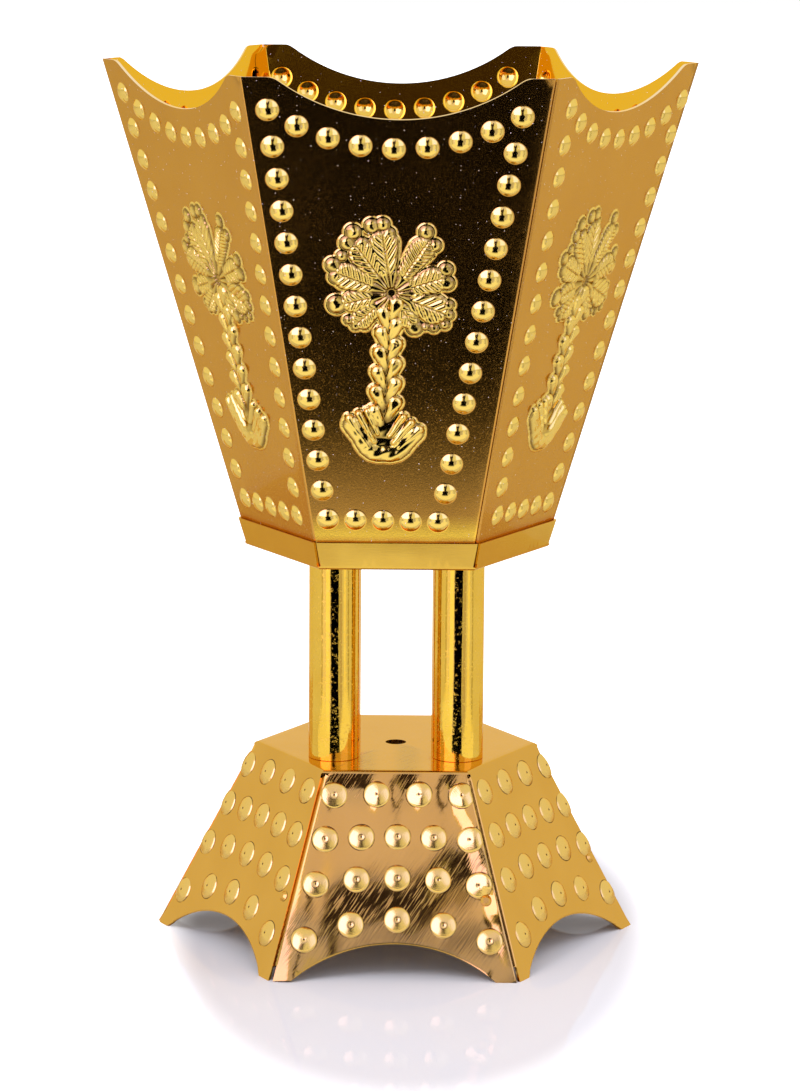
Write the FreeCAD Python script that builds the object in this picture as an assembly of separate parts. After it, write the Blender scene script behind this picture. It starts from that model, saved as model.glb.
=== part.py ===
# Hexagonal mabkhara, an incense burner of pressed and bent sheet brass.
# The base is one star shaped sheet, bent down into six studded panels that stand on arched feet.
# Four round tubes on it carry a hexagonal tray, and six embossed panels lapped at their corners
# and seated in that tray make the flared bowl. Rods through the tubes clamp base and tray together.
# A loose hexagonal pan for the charcoal lies in the bowl and lifts out.
# Frame: millimetres, +Z up, feet on Z = 0, axis of the hexagon on Z, front panel facing -Y.
import FreeCAD
import Part
import math
import os

# Base
base_circumradius = 76.7
base_height = 60.0
deck_circumradius = 45.1
base_sheet = 0.8
arch_end_flat = 6.85
arch_height = 11.8
base_seam_gap = 0.6
base_tab_width = 8.0
base_tab_end_gap = 5.0
deck_hole_diameter = 6.6

# Studs pressed into the base panels, in four rows counted from the deck
stud_diameter = 8.2
stud_tip_diameter = 1.4
stud_height = 1.1
stud_row_counts = [4, 5, 5, 5]
stud_row_rise_shares = [0.882, 0.671, 0.457, 0.194]
stud_row_crown_shares = [0.03, 0.07, 0.17, 0.55]
stud_row_span_share = 0.81

# Rivets that close the seams of the base
rivet_rise_share = 0.386
rivet_edge_inset = 4.0
rivet_shank_diameter = 1.8
rivet_head_diameter = 3.4
rivet_head_height = 0.7

# Tubes between the base and the tray
pillar_length = 64.0
pillar_diameter = 16.0
pillar_wall = 1.0
pillar_offset = 19.5

# Tray
tray_sheet = 0.8
tray_flange_height = 8.6
tray_corner_gap = 0.2

# Bowl
bowl_bottom_circumradius = 47.3
rim_circumradius = 92.7
bowl_height = 152.5
bowl_sheet = 0.8
bowl_tab_width = 7.0
bowl_tab_top_gap = 1.0
bowl_tab_corner_radius = 4.0
scallop_shoulder_width = 9.25
scallop_depth = 12.9
scallop_shoulder_radius = 7.0

# Beads pressed along the edges of the bowl panels
bead_diameter = 6.8
bead_height = 1.4
bead_arc_offset = 8.9
bead_arc_span_share = 0.805
bead_arc_count = 9
bead_column_top_share = 0.86
bead_column_foot_share = 0.161
bead_top_inset = 7.5
bead_low_inset = 8.5
bead_column_count = 12
bead_row_rise_share = 0.1
bead_row_span_share = 0.652
bead_row_count = 5

# Palm tree in low relief on each bowl panel
palm_relief = 0.7
palm_crown_rise_share = 0.575
palm_frond_length = 22.0
palm_frond_width = 8.6
palm_trunk_foot_share = 0.305
palm_trunk_top_width = 6.8
palm_trunk_low_width = 10.8
palm_planter_foot_share = 0.235
palm_planter_waist_share = 0.273
palm_planter_rim_share = 0.318
palm_planter_base_width = 10.4
palm_planter_waist_width = 8.0
palm_planter_rim_width = 24.0
frond_angles = [129.0, 99.0, 60.0, 20.0, -16.0, -62.0, -130.0, -167.0, 161.0]
frond_length_shares = [1.0, 0.94, 0.98, 0.84, 0.84, 0.71, 0.70, 0.90, 0.95]

# Each sheet was laid a little off centre and askew under its die
bowl_press_shift_shares = [-0.058, 0.05, 0.017, 0.032, -0.026, -0.006]
bowl_press_tilts = [-1.28, -1.29, -0.3, -0.5, 0.4, -0.6]
base_press_shift_shares = [0.021, 0.065, 0.016, -0.02, 0.03, -0.042]

# Rods, washers and nuts that clamp the tray and the base on the tubes
rod_diameter = 5.0
rod_end_length = 2.0
washer_diameter = 12.0
washer_thickness = 1.0
nut_across_flats = 8.0
nut_height = 4.0

# Charcoal pan
pan_drop = 48.0
pan_depth = 28.0
pan_sheet = 1.0
pan_lip_width = 4.5
pan_wall_run = 13.5

# Fits
lap_gap = 0.1
solder_gap = 0.12
rod_hole_clearance = 0.25
thread_clearance = 0.1
rivet_clearance = 0.1
pan_clearance = 0.3
overrun = 1.0

# Names of the six sides, counted from the front towards the right
side_names = ["front", "front_right", "rear_right", "rear", "rear_left", "front_left"]
side_count = len(side_names)
side_turn = 360.0 / side_count
front_azimuth = -90.0

# Levels and reaches worked out from the sizes above
corner_cos = math.cos(math.radians(side_turn / 2))
corner_tan = math.tan(math.radians(side_turn / 2))
deck_level = base_height
tray_level = deck_level + pillar_length
bowl_level = tray_level + tray_sheet
rim_level = bowl_level + bowl_height
cut_reach = 4 * (rim_circumradius + rim_level)
bowl_wall_run = (rim_circumradius - bowl_bottom_circumradius) * corner_cos
bowl_slant = math.hypot(bowl_height, bowl_wall_run)
bowl_wall_cos = bowl_height / bowl_slant


def bowl_radius(level, inset=0):
    """Corner radius of the bowl's outer faces at a level, moved in square to the walls."""
    share = (level - bowl_level) / bowl_height
    radius = bowl_bottom_circumradius + share * (rim_circumradius - bowl_bottom_circumradius)
    return radius - inset / (bowl_wall_cos * corner_cos)


def azimuth_of(side):
    return front_azimuth + side * side_turn


def wall_frame(foot_radius, foot_level, top_radius, top_level, side):
    """Placement of a wall: x along it, y up its slope from the foot, z straight out of it."""
    angle = math.radians(azimuth_of(side))
    out = FreeCAD.Vector(math.cos(angle), math.sin(angle), 0)
    along = FreeCAD.Vector(-math.sin(angle), math.cos(angle), 0)
    run = (top_radius - foot_radius) * corner_cos
    up = out * run + FreeCAD.Vector(0, 0, top_level - foot_level)
    up.normalize()
    normal = along.cross(up)
    origin = out * (foot_radius * corner_cos) + FreeCAD.Vector(0, 0, foot_level)
    return FreeCAD.Placement(FreeCAD.Matrix(
        along.x, up.x, normal.x, origin.x,
        along.y, up.y, normal.y, origin.y,
        along.z, up.z, normal.z, origin.z))


def bowl_frame(side):
    return wall_frame(bowl_bottom_circumradius, bowl_level, rim_circumradius, rim_level, side)


def base_frame(side):
    return wall_frame(base_circumradius, 0, deck_circumradius, deck_level, side)


def placed(shape, placement):
    moved = shape.copy()
    moved.Placement = placement.multiply(moved.Placement)
    return moved


def joined_edges(points):
    """Straight edges through a list of points."""
    return [Part.LineSegment(a, b).toShape() for a, b in zip(points, points[1:])]


def plate(edges, depth_from, depth_to):
    """Sheet with the given outline, between two depths below the wall's outer face."""
    face = Part.Face(Part.Wire(edges))
    face.translate(FreeCAD.Vector(0, 0, -depth_to))
    return face.extrude(FreeCAD.Vector(0, 0, depth_to - depth_from))


def outline_plate(points, depth_from, depth_to):
    return plate(joined_edges(points + points[:1]), depth_from, depth_to)


def outside_of(placement, depth):
    """Everything beyond a plane at a depth below a wall's outer face."""
    block = Part.makeBox(cut_reach, cut_reach, cut_reach)
    block.translate(FreeCAD.Vector(-cut_reach / 2, -cut_reach / 2, -depth))
    return placed(block, placement)


def above(level):
    block = Part.makeBox(cut_reach, cut_reach, cut_reach)
    block.translate(FreeCAD.Vector(-cut_reach / 2, -cut_reach / 2, level))
    return block


def below(level):
    block = Part.makeBox(cut_reach, cut_reach, cut_reach)
    block.translate(FreeCAD.Vector(-cut_reach / 2, -cut_reach / 2, level - cut_reach))
    return block


def hexagon(radius, level):
    corners = []
    for side in range(side_count + 1):
        angle = math.radians(azimuth_of(side) + side_turn / 2)
        corners.append(FreeCAD.Vector(radius * math.cos(angle), radius * math.sin(angle), level))
    return Part.makePolygon(corners)


def hexagon_block(foot_radius, foot_level, top_radius, top_level):
    wires = [hexagon(foot_radius, foot_level), hexagon(top_radius, top_level)]
    return Part.makeLoft(wires, True, True)


def point(x, y):
    return FreeCAD.Vector(x, y, 0)


def pressed(sheet, bumps, dents):
    """A sheet with bumps raised on its outer face and dents behind them."""
    return sheet.fuse(bumps).cut(Part.makeCompound(dents))


# Base: one sheet, with a hexagonal deck and six panels bent down from it

base_slant = math.hypot(base_height, (base_circumradius - deck_circumradius) * corner_cos)
rivet_rise = rivet_rise_share * base_slant
arch_half_span = base_circumradius / 2 - arch_end_flat


def base_half_width(rise):
    """Half the width of a base panel at a place up its slope, taken to the corner lines."""
    share = rise / base_slant
    return (base_circumradius + share * (deck_circumradius - base_circumradius)) / 2


def base_panel_sheet():
    """Flat panel with its arch, from corner line to seam, run over at the deck and the floor."""
    top = base_slant + overrun
    seam_foot = base_half_width(-overrun) - base_seam_gap
    seam_top = base_half_width(top) - base_seam_gap
    before = [
        point(-arch_half_span, 0),
        point(-arch_half_span, -overrun),
        point(-base_half_width(-overrun), -overrun),
        point(-base_half_width(top), top),
        point(seam_top, top),
        point(seam_foot, -overrun),
        point(arch_half_span, -overrun),
        point(arch_half_span, 0),
    ]
    arch = Part.Arc(point(arch_half_span, 0), point(0, arch_height), point(-arch_half_span, 0))
    return plate(joined_edges(before) + [arch.toShape()], 0, base_sheet)


def base_tab_sheet():
    """Lap tab that reaches behind the right edge of the panel to the left."""
    foot = base_tab_end_gap
    top = base_slant - base_tab_end_gap
    outline = [
        point(base_half_width(foot) - base_tab_width, foot),
        point(base_half_width(foot) + base_sheet, foot),
        point(base_half_width(top) + base_sheet, top),
        point(base_half_width(top) - base_tab_width, top),
    ]
    return outline_plate(outline, base_sheet + lap_gap, 2 * base_sheet + lap_gap)


def stud_places(side):
    """Centres of a base panel's studs: four rows, each a shallow arc over the arch."""
    shift = base_press_shift_shares[side] * base_half_width(0)
    places = []
    rows = zip(stud_row_counts, stud_row_rise_shares, stud_row_crown_shares)
    for count, rise_share, crown_share in rows:
        end_rise = rise_share * base_slant
        half_span = stud_row_span_share * base_half_width(end_rise)
        for index in range(count):
            step = 2 * index / (count - 1) - 1
            rise = end_rise + crown_share * arch_height * (1 - step ** 2)
            places.append((shift + step * half_span, rise))
    return places


def stud_cone(x, y, depth, foot_diameter):
    """Low cone of a stud, raised from a depth below the face."""
    cone = Part.makeCone(foot_diameter / 2, stud_tip_diameter / 2, stud_height + base_sheet / 2)
    cone.translate(FreeCAD.Vector(x, y, -depth))
    return cone


def base_panel(side):
    panel = base_panel_sheet()
    places = stud_places(side)
    bumps = [stud_cone(x, y, base_sheet / 2, stud_diameter) for x, y in places]
    dents = [stud_cone(x, y, 3 * base_sheet / 2, stud_diameter) for x, y in places]
    panel = placed(pressed(panel, bumps, dents), base_frame(side))
    left = base_frame(side - 1)
    panel = panel.cut(outside_of(left, base_sheet + lap_gap))
    tab = placed(base_tab_sheet(), left).cut(outside_of(base_frame(side), 0))
    return panel.fuse(tab)


def rivet_place(side):
    """Axis of the rivet at the right edge of a base panel."""
    x = base_half_width(rivet_rise) - rivet_edge_inset
    return base_frame(side), x


def rivet_hole(side):
    frame, x = rivet_place(side)
    hole = Part.makeCylinder(rivet_shank_diameter / 2 + rivet_clearance, 4 * base_sheet)
    hole.translate(FreeCAD.Vector(x, rivet_rise, -3 * base_sheet))
    return placed(hole, frame)


def pillar_places():
    return {
        "front_left": (-pillar_offset, -pillar_offset),
        "front_right": (pillar_offset, -pillar_offset),
        "rear_left": (-pillar_offset, pillar_offset),
        "rear_right": (pillar_offset, pillar_offset),
    }


def upright(diameter, level, height, place):
    rod = Part.makeCylinder(diameter / 2, height)
    rod.translate(FreeCAD.Vector(place[0], place[1], level))
    return rod


def rod_holes(level, thickness):
    """Holes for the four rods through a level sheet."""
    diameter = rod_diameter + 2 * rod_hole_clearance
    height = thickness + 2 * overrun
    return [upright(diameter, level - overrun, height, place) for place in pillar_places().values()]


def make_base():
    slope = (base_circumradius - deck_circumradius) / base_height
    under_radius = deck_circumradius + base_sheet * slope
    under_level = deck_level - base_sheet
    deck = hexagon_block(under_radius, under_level, deck_circumradius, deck_level)
    panels = [base_panel(side) for side in range(side_count)]
    shell = deck.fuse(panels).cut(above(deck_level)).cut(below(0))
    cuts = [rivet_hole(side) for side in range(side_count)]
    cuts += rod_holes(under_level, base_sheet)
    cuts.append(upright(deck_hole_diameter, under_level - overrun, base_sheet + 2 * overrun, (0, 0)))
    return shell.cut(Part.makeCompound(cuts)).removeSplitter()


def base_seam_rivet(side):
    """Rivet with a low outer head, its shank through panel and tab, and a closed inner head."""
    frame, x = rivet_place(side)
    grip = 2 * base_sheet + lap_gap
    shank = Part.makeCylinder(rivet_shank_diameter / 2, grip + 2 * rivet_clearance)
    shank.translate(FreeCAD.Vector(0, 0, -grip - rivet_clearance))
    outer = Part.makeCone(rivet_head_diameter / 2, rivet_shank_diameter / 2, rivet_head_height)
    outer.translate(FreeCAD.Vector(0, 0, rivet_clearance))
    inner = Part.makeCylinder(rivet_head_diameter / 2, rivet_head_height)
    inner.translate(FreeCAD.Vector(0, 0, -grip - rivet_clearance - rivet_head_height))
    rivet = shank.fuse([outer, inner])
    rivet.translate(FreeCAD.Vector(x, rivet_rise, 0))
    return placed(rivet, frame)


# Tubes, rods, washers and nuts

def make_pillar(place):
    tube = upright(pillar_diameter, deck_level, pillar_length, place)
    bore_diameter = pillar_diameter - 2 * pillar_wall
    return tube.cut(upright(bore_diameter, deck_level - overrun, pillar_length + 2 * overrun, place))


under_stack = base_sheet + washer_thickness + nut_height + rod_end_length
over_stack = tray_sheet + washer_thickness + nut_height + rod_end_length


def make_tie_rod(place):
    length = under_stack + pillar_length + over_stack
    return upright(rod_diameter, deck_level - under_stack, length, place)


def make_washer(level, place):
    bore = rod_diameter + 2 * thread_clearance
    ring = upright(washer_diameter, level, washer_thickness, place)
    return ring.cut(upright(bore, level - overrun, washer_thickness + 2 * overrun, place))


def make_nut(level, place):
    block = hexagon_block(nut_across_flats / (2 * corner_cos), level,
                          nut_across_flats / (2 * corner_cos), level + nut_height)
    block.translate(FreeCAD.Vector(place[0], place[1], 0))
    bore = rod_diameter + 2 * thread_clearance
    return block.cut(upright(bore, level - overrun, nut_height + 2 * overrun, place))


# Tray: a hexagonal floor with six flanges that follow the bowl's walls

def tray_radius(level):
    return bowl_radius(level, -(solder_gap + tray_sheet))


def tray_flange(side):
    """Flange bent up from the tray's floor, with an open slit at each corner."""
    top_level = tray_level + tray_flange_height
    frame = wall_frame(tray_radius(tray_level), tray_level, tray_radius(top_level), top_level, side)
    inset = tray_sheet * corner_tan + tray_corner_gap
    foot_half = tray_radius(tray_level) / 2 - inset
    top_half = tray_radius(top_level) / 2 - inset
    rise = tray_flange_height / bowl_wall_cos
    outline = [point(-foot_half, 0), point(foot_half, 0), point(top_half, rise), point(-top_half, rise)]
    return placed(outline_plate(outline, 0, tray_sheet), frame)


def make_tray():
    floor_top = tray_level + tray_sheet
    floor = hexagon_block(tray_radius(tray_level), tray_level, tray_radius(floor_top), floor_top)
    flanges = [tray_flange(side) for side in range(side_count)]
    tray = floor.fuse(flanges).cut(below(tray_level))
    return tray.cut(Part.makeCompound(rod_holes(tray_level, tray_sheet))).removeSplitter()


# Bowl: six pressed panels, each with a tab bent behind the next one

def bowl_half_width(rise):
    """Half the width of a bowl panel at a place up its slope, taken to the corner lines."""
    share = rise / bowl_slant
    return (bowl_bottom_circumradius + share * (rim_circumradius - bowl_bottom_circumradius)) / 2


scallop_half_span = rim_circumradius / 2 - scallop_shoulder_width
scallop_radius = (scallop_half_span ** 2 + scallop_depth ** 2) / (2 * scallop_depth)
scallop_centre_rise = bowl_slant - scallop_depth + scallop_radius


def scallop_edges():
    """Rim of a panel from right to left: flat shoulder, rounded corner, hollow arc, and back."""
    corner_rise = bowl_slant - scallop_shoulder_radius
    reach = scallop_radius + scallop_shoulder_radius
    corner_x = math.sqrt(reach ** 2 - (scallop_centre_rise - corner_rise) ** 2)
    share = scallop_radius / reach
    touch = point(corner_x * share, scallop_centre_rise + (corner_rise - scallop_centre_rise) * share)
    start = point(corner_x, bowl_slant)
    turn = (math.pi / 2 + math.atan2(touch.y - corner_rise, touch.x - corner_x)) / 2
    middle = point(corner_x + scallop_shoulder_radius * math.cos(turn),
                   corner_rise + scallop_shoulder_radius * math.sin(turn))
    half = bowl_half_width(bowl_slant)

    def mirrored(p):
        return point(-p.x, p.y)

    return [
        Part.LineSegment(point(half, bowl_slant), start).toShape(),
        Part.Arc(start, middle, touch).toShape(),
        Part.Arc(touch, point(0, bowl_slant - scallop_depth), mirrored(touch)).toShape(),
        Part.Arc(mirrored(touch), mirrored(middle), mirrored(start)).toShape(),
        Part.LineSegment(mirrored(start), point(-half, bowl_slant)).toShape(),
    ]


def bowl_panel_sheet():
    """Flat panel with its scalloped rim, run over at the floor of the tray."""
    half_top = bowl_half_width(bowl_slant)
    half_foot = bowl_half_width(-overrun)
    sides = [
        point(-half_top, bowl_slant),
        point(-half_foot, -overrun),
        point(half_foot, -overrun),
        point(half_top, bowl_slant),
    ]
    return plate(joined_edges(sides) + scallop_edges(), 0, bowl_sheet)


def bowl_tab_sheet():
    """Lap tab behind the left edge of the next panel, its free upper corner rounded."""
    top = bowl_slant - bowl_tab_top_gap
    turn = bowl_tab_corner_radius
    inner_foot = bowl_tab_width - bowl_half_width(-overrun)
    inner_top = bowl_tab_width - bowl_half_width(top)
    inner_turn = bowl_tab_width - bowl_half_width(top - turn)
    edges = joined_edges([
        point(inner_top - turn, top),
        point(-bowl_half_width(top) - bowl_sheet, top),
        point(-bowl_half_width(-overrun) - bowl_sheet, -overrun),
        point(inner_foot, -overrun),
        point(inner_turn, top - turn),
    ])
    diagonal = turn * math.cos(math.radians(45))
    middle = point(inner_top - turn + diagonal, top - turn + diagonal)
    edges.append(Part.Arc(point(inner_turn, top - turn), middle, point(inner_top - turn, top)).toShape())
    return plate(edges, bowl_sheet + lap_gap, 2 * bowl_sheet + lap_gap)


def bead_places():
    """Centres of a panel's beads: an arc under the rim, a column at each side, a row at the foot."""
    places = []
    arc_radius = scallop_radius + bead_arc_offset
    arc_reach = math.asin(bead_arc_span_share * bowl_half_width(bowl_slant) / arc_radius)
    for index in range(bead_arc_count):
        angle = arc_reach * (2 * index / (bead_arc_count - 1) - 1)
        rise = scallop_centre_rise - arc_radius * math.cos(angle)
        places.append((arc_radius * math.sin(angle), rise))
    for index in range(bead_column_count):
        share = index / (bead_column_count - 1)
        rise_share = bead_column_top_share + share * (bead_column_foot_share - bead_column_top_share)
        rise = rise_share * bowl_slant
        half = bowl_half_width(rise) - bead_top_inset - share * (bead_low_inset - bead_top_inset)
        places.append((-half, rise))
        places.append((half, rise))
    row_rise = bead_row_rise_share * bowl_slant
    row_half_span = bead_row_span_share * bowl_half_width(row_rise)
    for index in range(bead_row_count):
        places.append((row_half_span * (2 * index / (bead_row_count - 1) - 1), row_rise))
    return places


bead_radius = ((bead_diameter / 2) ** 2 + bead_height ** 2) / (2 * bead_height)


def bead_cap(x, y, radius, floor_depth):
    """Cap of a ball that stands on a level below the sheet's outer face."""
    centre_depth = bead_radius - bead_height
    low = math.degrees(math.asin((centre_depth - floor_depth) / radius))
    cap = Part.makeSphere(radius, FreeCAD.Vector(0, 0, 0), FreeCAD.Vector(0, 0, 1), low, 90, 360)
    cap.translate(FreeCAD.Vector(x, y, -centre_depth))
    return cap


palm_heart = point(0, palm_crown_rise_share * bowl_slant)


def frond(angle, length):
    """Leaf shaped relief from the heart of the crown to a frond's tip."""
    along = point(math.cos(math.radians(angle)), math.sin(math.radians(angle)))
    across = point(-along.y, along.x)
    tip = palm_heart + along * length
    middle = palm_heart + along * (length / 2)
    arcs = [
        Part.Arc(palm_heart, middle + across * (palm_frond_width / 2), tip).toShape(),
        Part.Arc(tip, middle - across * (palm_frond_width / 2), palm_heart).toShape(),
    ]
    return plate(arcs, -palm_relief, bowl_sheet / 2)


def palm_tree():
    """Crown of fronds, tapered trunk and waisted planter, raised from the sheet."""
    shapes = [frond(angle, palm_frond_length * share)
              for angle, share in zip(frond_angles, frond_length_shares)]
    trunk_foot = palm_trunk_foot_share * bowl_slant
    trunk = [
        point(-palm_trunk_low_width / 2, trunk_foot),
        point(palm_trunk_low_width / 2, trunk_foot),
        point(palm_trunk_top_width / 2, palm_heart.y),
        point(-palm_trunk_top_width / 2, palm_heart.y),
    ]
    shapes.append(outline_plate(trunk, -palm_relief, bowl_sheet / 2))
    halves = [
        (palm_planter_rim_width / 2, palm_planter_rim_share * bowl_slant),
        (palm_planter_waist_width / 2, palm_planter_waist_share * bowl_slant),
        (palm_planter_base_width / 2, palm_planter_foot_share * bowl_slant),
    ]
    planter = [point(x, y) for x, y in halves] + [point(-x, y) for x, y in reversed(halves)]
    shapes.append(outline_plate(planter, -palm_relief, bowl_sheet / 2))
    return shapes


def press_placement(side):
    """Where the die lay on the sheet: shifted along it and turned about the palm's heart."""
    shift = bowl_press_shift_shares[side] * rim_circumradius / 2
    turn = FreeCAD.Rotation(FreeCAD.Vector(0, 0, 1), bowl_press_tilts[side])
    return FreeCAD.Placement(point(shift, 0), turn, palm_heart)


def make_bowl_panel(side):
    bumps = [bead_cap(x, y, bead_radius, bowl_sheet / 2) for x, y in bead_places()] + palm_tree()
    dents = [bead_cap(x, y, bead_radius - bowl_sheet, bowl_sheet + overrun) for x, y in bead_places()]
    die = press_placement(side)
    panel = pressed(bowl_panel_sheet(), [placed(bump, die) for bump in bumps],
                    [placed(dent, die) for dent in dents])
    panel = placed(panel, bowl_frame(side))
    following = bowl_frame(side + 1)
    panel = panel.cut(outside_of(following, bowl_sheet + lap_gap))
    tab = placed(bowl_tab_sheet(), following).cut(outside_of(bowl_frame(side), 0))
    return panel.fuse(tab).cut(below(bowl_level)).cut(above(rim_level)).removeSplitter()


# Charcoal pan: a hexagonal tray whose lip meets the lap tabs inside the bowl

def make_pan():
    lip_level = rim_level - pan_drop
    floor_level = lip_level - pan_depth
    inset = 2 * bowl_sheet + lap_gap + pan_clearance
    lip_radius = bowl_radius(lip_level, inset)
    lip_under = bowl_radius(lip_level - pan_sheet, inset)
    body_radius = lip_radius - pan_lip_width
    floor_radius = body_radius - pan_wall_run
    wall = pan_sheet / corner_cos
    lip = hexagon_block(lip_under, lip_level - pan_sheet, lip_radius, lip_level)
    body = hexagon_block(floor_radius, floor_level, body_radius, lip_level)
    hollow = hexagon_block(floor_radius - wall, floor_level + pan_sheet,
                           body_radius - wall, lip_level)
    over = hexagon_block(body_radius - wall, lip_level, body_radius - wall, lip_level + overrun)
    return lip.fuse(body).cut(hollow).cut(over).removeSplitter()


def save(name, solids):
    for solid in solids:
        print(name, "volume", round(solid.Volume, 1), "solids", len(solid.Solids), "valid", solid.isValid())
    shape = solids[0] if len(solids) == 1 else Part.makeCompound(solids)
    shape.exportStep(os.path.join("parts", name + ".step"))


os.makedirs("parts", exist_ok=True)
save("base_shell", [make_base()])
save("base_seam_rivets", [base_seam_rivet(side) for side in range(side_count)])
for corner, place in pillar_places().items():
    save("pillar_" + corner, [make_pillar(place)])
    save("tie_rod_" + corner, [make_tie_rod(place)])
places = list(pillar_places().values())
lower_washer_level = deck_level - base_sheet - washer_thickness
upper_washer_level = tray_level + tray_sheet
save("lower_washers", [make_washer(lower_washer_level, place) for place in places])
save("lower_nuts", [make_nut(lower_washer_level - nut_height, place) for place in places])
save("upper_washers", [make_washer(upper_washer_level, place) for place in places])
save("upper_nuts", [make_nut(upper_washer_level + washer_thickness, place) for place in places])
save("collar_tray", [make_tray()])
for side, side_name in enumerate(side_names):
    save("bowl_panel_" + side_name, [make_bowl_panel(side)])
save("charcoal_pan", [make_pan()])
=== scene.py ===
import math
import bpy
import numpy as np
from mathutils import Matrix, Vector, geometry


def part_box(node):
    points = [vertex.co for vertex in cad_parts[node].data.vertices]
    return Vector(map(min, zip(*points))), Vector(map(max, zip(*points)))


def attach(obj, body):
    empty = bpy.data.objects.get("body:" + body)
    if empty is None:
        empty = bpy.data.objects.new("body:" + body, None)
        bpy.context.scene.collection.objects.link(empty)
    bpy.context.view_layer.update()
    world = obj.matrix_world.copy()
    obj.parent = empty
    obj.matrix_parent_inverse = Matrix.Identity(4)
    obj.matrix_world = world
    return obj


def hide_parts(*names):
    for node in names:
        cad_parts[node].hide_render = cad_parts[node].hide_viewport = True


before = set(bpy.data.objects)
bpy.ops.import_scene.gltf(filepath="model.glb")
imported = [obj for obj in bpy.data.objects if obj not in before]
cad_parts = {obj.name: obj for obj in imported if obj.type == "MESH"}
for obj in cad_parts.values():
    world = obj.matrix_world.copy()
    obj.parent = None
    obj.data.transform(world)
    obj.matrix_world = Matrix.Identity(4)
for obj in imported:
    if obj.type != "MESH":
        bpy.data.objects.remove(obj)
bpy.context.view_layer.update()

# Sizes below are in millimetres, and meshes are laid in metres.
mm = 0.001
bpy.ops.object.select_all(action="DESELECT")


# Camera
# It stands 1.25 m in front of the burner, a little above its rim, and looks slightly down.
# The sensor is 36 mm on the picture's long side, and the frame is turned a little clockwise.
camera_place = (0.90, -1245.3, 356.0)
camera_pitch = -10.552
camera_roll = 0.414
picture_height = 1091
focal_pixels = 3986.9
sensor_size = 36.0

camera_data = bpy.data.cameras.new("camera")
camera_data.sensor_width = sensor_size
camera_data.lens = focal_pixels / picture_height * sensor_size
camera = bpy.data.objects.new("camera", camera_data)
bpy.context.scene.collection.objects.link(camera)
camera.location = Vector(camera_place) * mm
camera_turn = Matrix.Rotation(math.radians(90 + camera_pitch), 4, "X")
camera.rotation_euler = (camera_turn @ Matrix.Rotation(math.radians(camera_roll), 4, "Z")).to_euler()
bpy.context.scene.camera = camera


# Bowl: six panels of thin sheet brass, each pressed with beads and a palm tree in one die,
# folded at its right edge into a lap tab that is soldered behind the next panel, and gold plated.
# The outer face is a flat pattern joined by triangles, raised by the relief and folded.
side_names = ["front", "front_right", "rear_right", "rear", "rear_left", "front_left"]
side_turn = 60.0
front_azimuth = -90.0
corner_cos = math.cos(math.radians(side_turn / 2))
corner_tan = math.tan(math.radians(side_turn / 2))

bowl_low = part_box("bowl_panel_front")[0].z / mm
rim_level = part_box("bowl_panel_front")[1].z / mm
rim_circumradius = 92.7
bowl_bottom_circumradius = 47.3
bowl_sheet = 0.8
lap_gap = 0.1
bend_radius = 1.0
bowl_tab_width = 7.0
bowl_tab_top_gap = 1.0
bowl_tab_corner_falls = (6.2, 3.4, 2.0)
bowl_tab_corner_insets = (1.2, 4.0)
scallop_half_span = 37.1
scallop_depth = 12.9
scallop_shoulder_radius = 7.0

bead_radius = 3.4
bead_height = 1.4
bead_arc_offset = 8.9
bead_arc_span_share = 0.805
bead_arc_count = 9
bead_column_shares = (0.86, 0.161)
bead_column_insets = (7.5, 8.5)
bead_column_count = 12
bead_row_rise_share = 0.1
bead_row_span_share = 0.652
bead_row_count = 5

# Spacing of the points along the sheets' edges, and the least triangle and gap kept in a pattern.
edge_step = 3.0
least_triangle = 1e-3
least_gap = 1e-4
merge_gap = 0.004
level_cut_gap = 0.001

press_shifts = [-2.69, 2.32, 0.79, 1.48, -1.21, -0.28]
press_tilts = [-1.28, -1.29, -0.3, -0.5, 0.4, -0.6]


def wall_axes(side, low_radius, low_level, top_radius, top_level):
    """Foot point, along, up and outward directions of one of six sloping walls."""
    angle = math.radians(front_azimuth + side * side_turn)
    out = np.array([math.cos(angle), math.sin(angle), 0.0])
    along = np.array([-math.sin(angle), math.cos(angle), 0.0])
    run = (top_radius - low_radius) * corner_cos
    up = out * run + np.array([0.0, 0.0, top_level - low_level])
    up /= np.linalg.norm(up)
    foot = out * low_radius * corner_cos + np.array([0.0, 0.0, low_level])
    return foot, along, up, np.cross(along, up)


def lap_turn(low_radius, low_level, top_radius, top_level):
    """Angle through which the sheet turns from one wall into the next."""
    normals = [wall_axes(side, low_radius, low_level, top_radius, top_level)[3] for side in (0, 1)]
    return math.acos(normals[0] @ normals[1])


def folded(flat, depth, start, across, turn, radius, where):
    """Bends the sheet back past a line: points beyond it follow the bend and then the flap."""
    beyond = np.where(where, np.maximum((flat - start) @ across, 0.0), 0.0)
    angle = np.minimum(beyond / radius, turn)
    rest = np.maximum(beyond - radius * turn, 0.0)
    reach = radius * np.sin(angle) + rest * math.cos(turn)
    drop = radius * (1 - np.cos(angle)) + rest * math.sin(turn)
    return flat + np.outer(reach - beyond, across), depth - drop


def laid(flat, depth, axes):
    foot, along, up, normal = axes
    return foot + np.outer(flat[:, 0], along) + np.outer(flat[:, 1], up) + np.outer(depth, normal)


def stepped(points, step):
    """A line of points with none further apart than a step."""
    made = []
    for a, b in zip(points, points[1:]):
        count = max(1, math.ceil(math.dist(a, b) / step))
        made += [(a[0] + (b[0] - a[0]) * i / count, a[1] + (b[1] - a[1]) * i / count) for i in range(count)]
    return made + [points[-1]]


def arc(centre, radius, start, end, count):
    """Points on an arc, its start and end angles in degrees."""
    angles = np.radians(np.linspace(start, end, count))
    return [(centre[0] + radius * math.cos(a), centre[1] + radius * math.sin(a)) for a in angles]


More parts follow.
